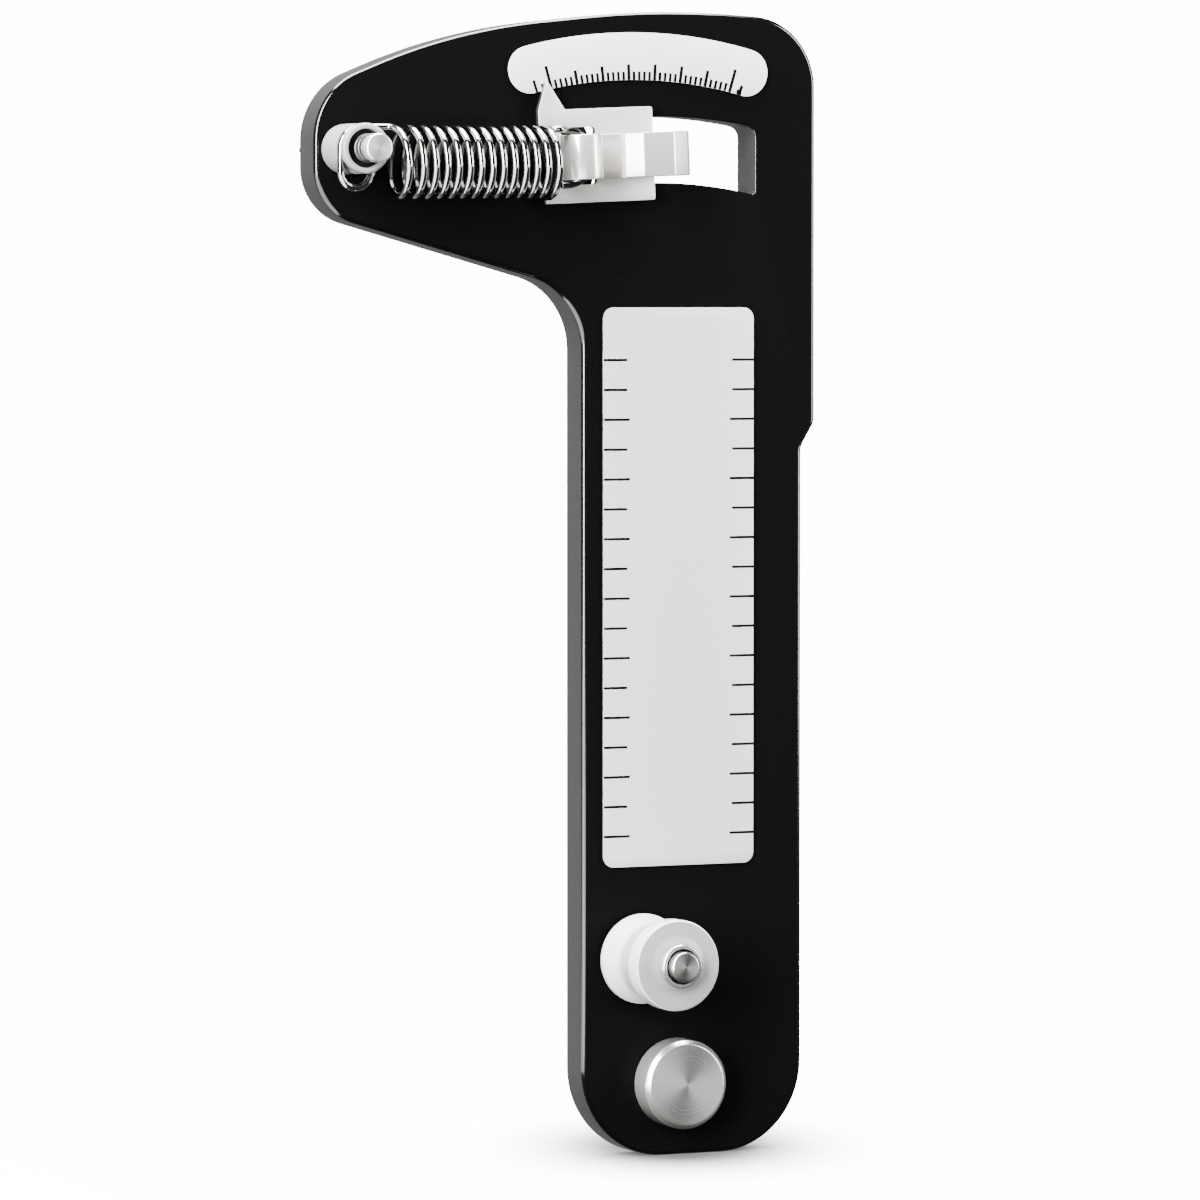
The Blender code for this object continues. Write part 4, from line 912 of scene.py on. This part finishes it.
# %% Materials
def material(name, colour, roughness, metallic, effect=None, values=None, bump=0.0, **extra):
    """A Principled BSDF, with one shared effect on its colour and normal if asked."""
    made = bpy.data.materials.new(name)
    made.use_nodes = True
    tree = made.node_tree
    shader = tree.nodes["Principled BSDF"]
    shader.inputs["Base Color"].default_value = (*colour, 1)
    shader.inputs["Roughness"].default_value = roughness
    shader.inputs["Metallic"].default_value = metallic
    for socket, value in extra.items():
        shader.inputs[socket.replace("_", " ")].default_value = value
    if effect is None:
        return made
    group = tree.nodes.new("ShaderNodeGroup")
    group.node_tree = effect
    for socket, value in (values or {}).items():
        group.inputs[socket].default_value = value
    tint = tree.nodes.new("ShaderNodeVectorMath")
    tint.operation = "SCALE"
    tint.inputs[0].default_value = colour
    tree.links.new(group.outputs["Tone"], tint.inputs["Scale"])
    tree.links.new(tint.outputs["Vector"], shader.inputs["Base Color"])
    if bump:
        height = tree.nodes.new("ShaderNodeBump")
        height.inputs["Strength"].default_value = 1.0
        height.inputs["Distance"].default_value = bump * MM
        tree.links.new(group.outputs["Height"], height.inputs["Height"])
        tree.links.new(height.outputs["Normal"], shader.inputs["Normal"])
    return made


post_face = place(POST[0], 0, POST[1])
axle_face = place(SHEAVE[0], 0, SHEAVE[1])
pin_face = place(ANCHOR[0], 0, ANCHOR[1])
DARK_DEPTH, BRIGHT_DEPTH = 8.6, 12.4

black = material("black_anodised", (0.0026, 0.0026, 0.0025), 0.38, 0.0, grain_group,
                 {"Density": (900, 900, 900), "Strength": 0.25}, 0.001, Specular_IOR_Level=0.01)
rim = material("black_anodised_rim", (0.0012, 0.0012, 0.0012), 0.12, 0.0, Specular_IOR_Level=0.8)
# Painted light: the body's plain sides are a much lighter black than its front, as a grazed side looks.
side_painted_light = material("black_anodised_side_painted_light", (0.026, 0.026, 0.026), 0.34, 0.0, grain_group,
                  {"Density": (500, 500, 500), "Strength": 0.12}, 0.001, Specular_IOR_Level=0.4)
chart_metal = material("sheet_brushed_across", (0.68, 0.66, 0.63), 0.42, 0.15, grain_group,
                       {"Density": (40, 400, 2600), "Strength": 0.12}, 0.002)
scale_metal = material("sheet_brushed_upright", (0.97, 0.955, 0.925), 0.40, 0.05, grain_group,
                       {"Density": (2600, 400, 40), "Strength": 0.16}, 0.002)
stainless = material("stainless_plate", (0.76, 0.745, 0.72), 0.32, 0.35, grain_group,
                     {"Density": (60, 900, 1500), "Strength": 0.14}, 0.001)
strip_steel = material("stainless_strip", (0.86, 0.84, 0.81), 0.24, 0.6, grain_group,
                       {"Density": (900, 900, 60), "Strength": 0.06}, 0.001)
# A darker steel for cut edges: partly the duller cut edge, partly painted shade on sides in shadow.
cut_edge_and_shade = material("stainless_cut_edge", (0.26, 0.255, 0.245), 0.30, 0.9, grain_group,
                    {"Density": (1200, 300, 1200), "Strength": 0.2}, 0.001)
zinc = material("zinc_plate", (0.50, 0.495, 0.485), 0.34, 1.0, grain_group,
                {"Density": (700, 700, 700), "Strength": 0.12}, 0.001)
white = material("white_acetal", (0.90, 0.885, 0.86), 0.22, 0.0, grain_group,
                 {"Density": (250, 250, 250), "Strength": 0.03})
# Painted shade: the sheave's groove is a darker copy of its white, where the front flange shades it.
groove_painted_shade = material("white_acetal_groove_shaded", (0.56, 0.55, 0.53), 0.34, 0.0, grain_group,
                {"Density": (250, 250, 250), "Strength": 0.05})
# Painted shade: a darker copy of the white acetal for the anchor bush.
bush_painted_shade = material("white_acetal_bush_shaded", (0.36, 0.352, 0.34), 0.30, 0.0, grain_group,
                {"Density": (250, 250, 250), "Strength": 0.05})
# Painted shade: the sheave's front face is a darker copy of its white; its rings are real turning marks.
ringed_face_and_shade = material("white_acetal_ringed_and_shaded", (0.34, 0.333, 0.322), 0.30, 0.0, rings_group,
                 {"Centre": axle_face, "Rings per metre": 2600.0, "Painted fan": 0.03, "Contrast": 0.06}, 0.002)
# The fan on these turned faces is a painted highlight in their colour; the rings are real turning marks.
post_steel = material("post_turned_steel", (0.86, 0.84, 0.805), 0.24, 0.85, rings_group,
                      {"Centre": post_face, "Rings per metre": 2200.0, "Painted fan": 0.5, "Contrast": 0.5}, 0.004)
axle_steel = material("axle_turned_steel", (0.66, 0.64, 0.615), 0.22, 0.9, rings_group,
                      {"Centre": axle_face, "Rings per metre": 1800.0, "Painted fan": 0.65, "Contrast": 0.3}, 0.002)
bush_steel = material("bush_turned_steel", (0.60, 0.59, 0.57), 0.2, 0.75, rings_group,
                      {"Centre": axle_face, "Rings per metre": 5200.0, "Painted fan": 0.1, "Contrast": 0.2}, 0.001)
pin_steel = material("pin_turned_steel", (0.84, 0.82, 0.79), 0.22, 0.7, rings_group,
                     {"Centre": pin_face, "Rings per metre": 1800.0, "Painted fan": 0.3, "Contrast": 0.25}, 0.002)
pin_neck = material("pin_neck_steel", (0.07, 0.069, 0.067), 0.34, 1.0, grain_group,
                    {"Density": (700, 700, 700), "Strength": 0.2}, 0.001)
# The spring's wire darkens with depth towards the plate: painted shade on its rear strands.
wire_steel = material("spring_wire_steel", (0.46, 0.452, 0.44), 0.11, 1.0, shade_group,
                      {"From": place(0, DARK_DEPTH, 0).y, "To": place(0, BRIGHT_DEPTH, 0).y, "Least": 0.14})
# Black acetal for the guide block; the same black goes on the bushes' hollows below as painted shade.
black_and_hollow_shade = material("black_acetal", (0.004, 0.004, 0.004), 0.5, 0.0, Specular_IOR_Level=0.15)
print("materials:", len(bpy.data.materials))

# %% [markdown]
# ## Hanging the pieces on the frame
#
# Every finished piece rides on the body that its CAD node belongs to, and stands for that node.
# The spring is the exception: its loop is held by the body and its hook by the slider, but here it
# rides on neither and keeps the shape it is drawn in. `repaint()` then picks out the faces that look
# different: rims, plain sides painted lighter as painted light, cut edges, partly painted shade, the
# sheave's front and groove and the hollows, darkened as painted shade, and the pin's dark neck. The
# `FACING` values are the most that a face of a rim, or of a plain side, looks along Y.

# %% Ride and replace
RIM_FACING, SIDE_FACING = 0.985, 0.12
GROOVE_SHADE_DEPTHS = (8.2, 17.4)
BUSH_HOLLOW, BUSH_FLOOR = 4.55, 12.0
FLANGE_HOLLOW = 4.28
NECK_DEPTHS = (14.0, 21.3)


def dress(piece, finish, body_name, slot_name, *replaced):
    """Gives a piece its finish and hangs it on the frame."""
    piece.data.materials.clear()
    piece.data.materials.append(finish)
    if body_name:
        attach(piece, body_name)
    if replaced:
        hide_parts(*replaced)


def repaint(piece, finish, chosen):
    """Gives another finish to the faces that a rule picks."""
    piece.data.materials.append(finish)
    index = len(piece.data.materials) - 1
    for face in piece.data.polygons:
        if chosen(face):
            face.material_index = index


def proud(face):
    """How far a face's middle stands proud of the body's front, in millimetres."""
    return (FRONT_Y - face.center.y) / MM


def radius_from(axis, face):
    """How far a face's middle lies from an axis along Y, in millimetres."""
    away = (face.center - axis) / MM
    return math.hypot(away.x, away.z)


def in_bush_hollow(face):
    """Whether a face lies in the hollow at the anchor bush's front."""
    return radius_from(pin_face, face) < BUSH_HOLLOW and proud(face) > BUSH_FLOOR


dress(body, black, "body", "body_black", "body_plate")
dress(scale_sheet, scale_metal, "body", "bright_sheet", "tension_scale_plate")
dress(chart_sheet, chart_metal, "body", "bright_sheet", "conversion_chart_plate")
dress(slider_plate, stainless, "slider", "stainless", "pointer_plate")
dress(hook_strip, strip_steel, "slider", "stainless", "cable_hook")
dress(sheave, white, "sheave", "white_acetal", "cable_sheave")
dress(sheave_bush, bush_steel, "sheave", "turned_steel", "sheave_bush")
dress(sheave_axle, axle_steel, "body", "turned_steel", "sheave_axle")
dress(post, post_steel, "body", "turned_steel", "cable_post")
# The anchor bush wears the darker white: painted shade.
dress(anchor_bush, bush_painted_shade, "bush", "white_acetal", "anchor_bush")
dress(anchor_pin, pin_steel, "body", "turned_steel", "anchor_pin")
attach(scale_ticks, "body")
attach(chart_ticks, "body")

dress(spring, wire_steel, None, "spring_steel", "tension_spring")
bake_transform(spring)

for name in ("hook_rivet_left", "hook_rivet_right"):
    nodes[name].data.materials[0] = stainless
nodes["guide_block"].data.materials[0] = black_and_hollow_shade
nodes["keeper_plate"].data.materials[0] = stainless
for name in nodes:
    if "washer" in name or "nut" in name or "screw" in name:
        nodes[name].data.materials[0] = zinc

repaint(body, rim, lambda face: abs(face.normal.y) <= RIM_FACING)
# The plain sides get the lighter black: painted light.
repaint(body, side_painted_light, lambda face: abs(face.normal.y) <= SIDE_FACING)
# Edges of the plate and the strip get the darker steel: partly cut edge, partly painted shade.
repaint(slider_plate, cut_edge_and_shade, lambda face: abs(face.normal.y) < 0.5)
repaint(hook_strip, cut_edge_and_shade, lambda face: abs(face.normal.z) > 0.8)
# The sheave's front face gets the darker, ringed white: painted shade.
repaint(sheave, ringed_face_and_shade, lambda face: face.normal.y < -0.9)
# The groove's faces get the darker white: painted shade.
repaint(sheave, groove_painted_shade, lambda face: GROOVE_SHADE_DEPTHS[0] < proud(face) < GROOVE_SHADE_DEPTHS[1])
# The hollow at the anchor bush's front and the ring inside the sheave bush's flange are painted black:
# painted shade.
repaint(anchor_bush, black_and_hollow_shade, in_bush_hollow)
repaint(sheave_bush, black_and_hollow_shade, lambda face: radius_from(axle_face, face) < FLANGE_HOLLOW)
repaint(anchor_pin, pin_neck, lambda face: NECK_DEPTHS[0] < proud(face) < NECK_DEPTHS[1])

# %% [markdown]
# ## The studio
#
# A pale floor sweeps up behind the gauge, so no horizon shows. It glows, and the glow fades under
# the foot, which is the soft shade that the gauge stands in. A tall soft box stands at the left, a
# weaker one at the right, and a wide one hangs above. A card on the floor shows only in
# reflections, and the room is dark but for a little light from behind.

# %% Floor and light
FLOOR_HALF = 4.0
FLOOR_END = 1.2
SWEEP_RADIUS = 0.9
SWEEP_STEPS = 16
PAPER_GLOW = 14.6
CARD_GLOW = 6.0
SHADE_MIDDLE = (3.5, -15.5)
SHADE_REACH = (0.014, 0.056)
SHADE_TURN = math.radians(-25)
SHADE_STRETCH = 1.54


def sweep_floor():
    """Floor and backdrop in one curved sheet."""
    mesh = bmesh.new()
    profile = [(-FLOOR_HALF, 0.0), (FLOOR_END, 0.0)]
    for step in range(1, SWEEP_STEPS + 1):
        a = math.pi / 2 * step / SWEEP_STEPS
        profile.append((FLOOR_END + SWEEP_RADIUS * math.sin(a), SWEEP_RADIUS * (1 - math.cos(a))))
    profile.append((FLOOR_END + SWEEP_RADIUS, FLOOR_HALF))
    rows = [[mesh.verts.new((x, y, z)) for y, z in profile] for x in (-FLOOR_HALF, FLOOR_HALF)]
    for index in range(len(profile) - 1):
        mesh.faces.new((rows[0][index], rows[1][index], rows[1][index + 1], rows[0][index + 1]))
    return finish_mesh("studio_sweep", mesh)


def set_ramp(ramp, *limits):
    """A smooth ramp between the two From values and the two To values."""
    ramp.interpolation_type = "SMOOTHSTEP"
    for socket, value in zip(("From Min", "From Max", "To Min", "To Max"), limits):
        ramp.inputs[socket].default_value = value


floor = sweep_floor()
paper = material("pale_paper", (0.08, 0.08, 0.08), 0.8, 0.0, Emission_Strength=PAPER_GLOW)
link = paper.node_tree.links.new
spot, reach, glow, centre = new_nodes(paper.node_tree, "TexCoord", "VectorMath", "MapRange", "Mapping")
centre.vector_type = "TEXTURE"
centre.inputs["Location"].default_value = place(*SHADE_MIDDLE, 0)
centre.inputs["Rotation"].default_value = (0, 0, SHADE_TURN)
centre.inputs["Scale"].default_value = (1, SHADE_STRETCH, 1)
reach.operation = "LENGTH"
set_ramp(glow, *SHADE_REACH, 0.01, 1.0)
link(spot.outputs["Object"], centre.inputs["Vector"])
link(centre.outputs["Vector"], reach.inputs[0])
link(reach.outputs["Value"], glow.inputs["Value"])
link(glow.outputs["Result"], paper.node_tree.nodes["Principled BSDF"].inputs["Emission Color"])
floor.data.materials.append(paper)
floor.visible_diffuse = False
floor.visible_glossy = False


def floor_card():
    """A white card on the floor, which only reflections see."""
    mesh = bmesh.new()
    outline = ((-1.5, -1.2), (-0.12, -1.2), (-0.12, 0.12), (-1.5, 0.12))
    mesh.faces.new([mesh.verts.new((x, y, 0.001)) for x, y in outline])
    card = finish_mesh("floor_card", mesh)
    card.data.materials.append(material("white_card", (0, 0, 0), 0.5, 0.0, Emission_Strength=CARD_GLOW))
    card.visible_camera = False
    card.visible_diffuse = False
    card.visible_shadow = False
    return card


card = floor_card()


def soft_light(name, where, aim, size, power):
    """A rectangular soft box aimed at a point."""
    data = bpy.data.lights.new(name, "AREA")
    data.shape = "RECTANGLE"
    data.size, data.size_y = size
    data.energy = power
    lamp = new_object(name, data)
    lamp.location = where
    lamp.rotation_euler = (Vector(aim) - Vector(where)).to_track_quat("-Z", "Y").to_euler()
    return lamp


key = soft_light("key_light", (-1.19, -0.9, 0.85), aim=(0, 0, 0.7), size=(0.5, 1.85), power=165)
fill = soft_light("fill_light", (1.22, -0.84, 0.55), aim=(0, 0, 0.4), size=(0.35, 1.1), power=36)
top = soft_light("top_light", (0.0, 0.15, 1.7), aim=(0, 0.05, 0.0), size=(1.6, 1.2), power=220)

world = bpy.data.worlds.new("studio_room")
world.use_nodes = True
room = world.node_tree
link = room.links.new
where, facing, fade = new_nodes(room, "TexCoord", "VectorMath", "MapRange")
facing.operation = "DOT_PRODUCT"
# The room is brightest behind the gauge, a little to the left.
facing.inputs[1].default_value = (0.3, -0.95, 0)
set_ramp(fade, -0.92, -0.3, 0.5, 0.05)
link(where.outputs["Generated"], facing.inputs[0])
link(facing.outputs["Value"], fade.inputs["Value"])
link(fade.outputs["Result"], room.nodes["Background"].inputs["Strength"])
room.nodes["Background"].inputs["Color"].default_value = (1, 1, 1, 1)
bpy.context.scene.world = world
print("lights:", key.name, fill.name, top.name)

# %% [markdown]
# ## The camera
#
# The photo was taken from a little to the left with a long lens, so the body's left edge shows and
# lines stay almost parallel.

# %% Camera
TARGET = place(-24.99, 0, 134.76)
YAW, PITCH, REACH = math.radians(-25), math.radians(2.5), 1.68
camera_data = bpy.data.cameras.new("photo_camera")
camera_data.sensor_width = 36
camera_data.lens = 210
camera = new_object("photo_camera", camera_data)
away = Vector((math.sin(YAW) * math.cos(PITCH), -math.cos(YAW) * math.cos(PITCH), math.sin(PITCH)))
camera.location = TARGET + away * REACH
camera.rotation_euler = (-away).to_track_quat("-Z", "Y").to_euler()
bpy.context.scene.camera = camera
print("camera", round(REACH, 2), "m away, lens", camera_data.lens, "mm")
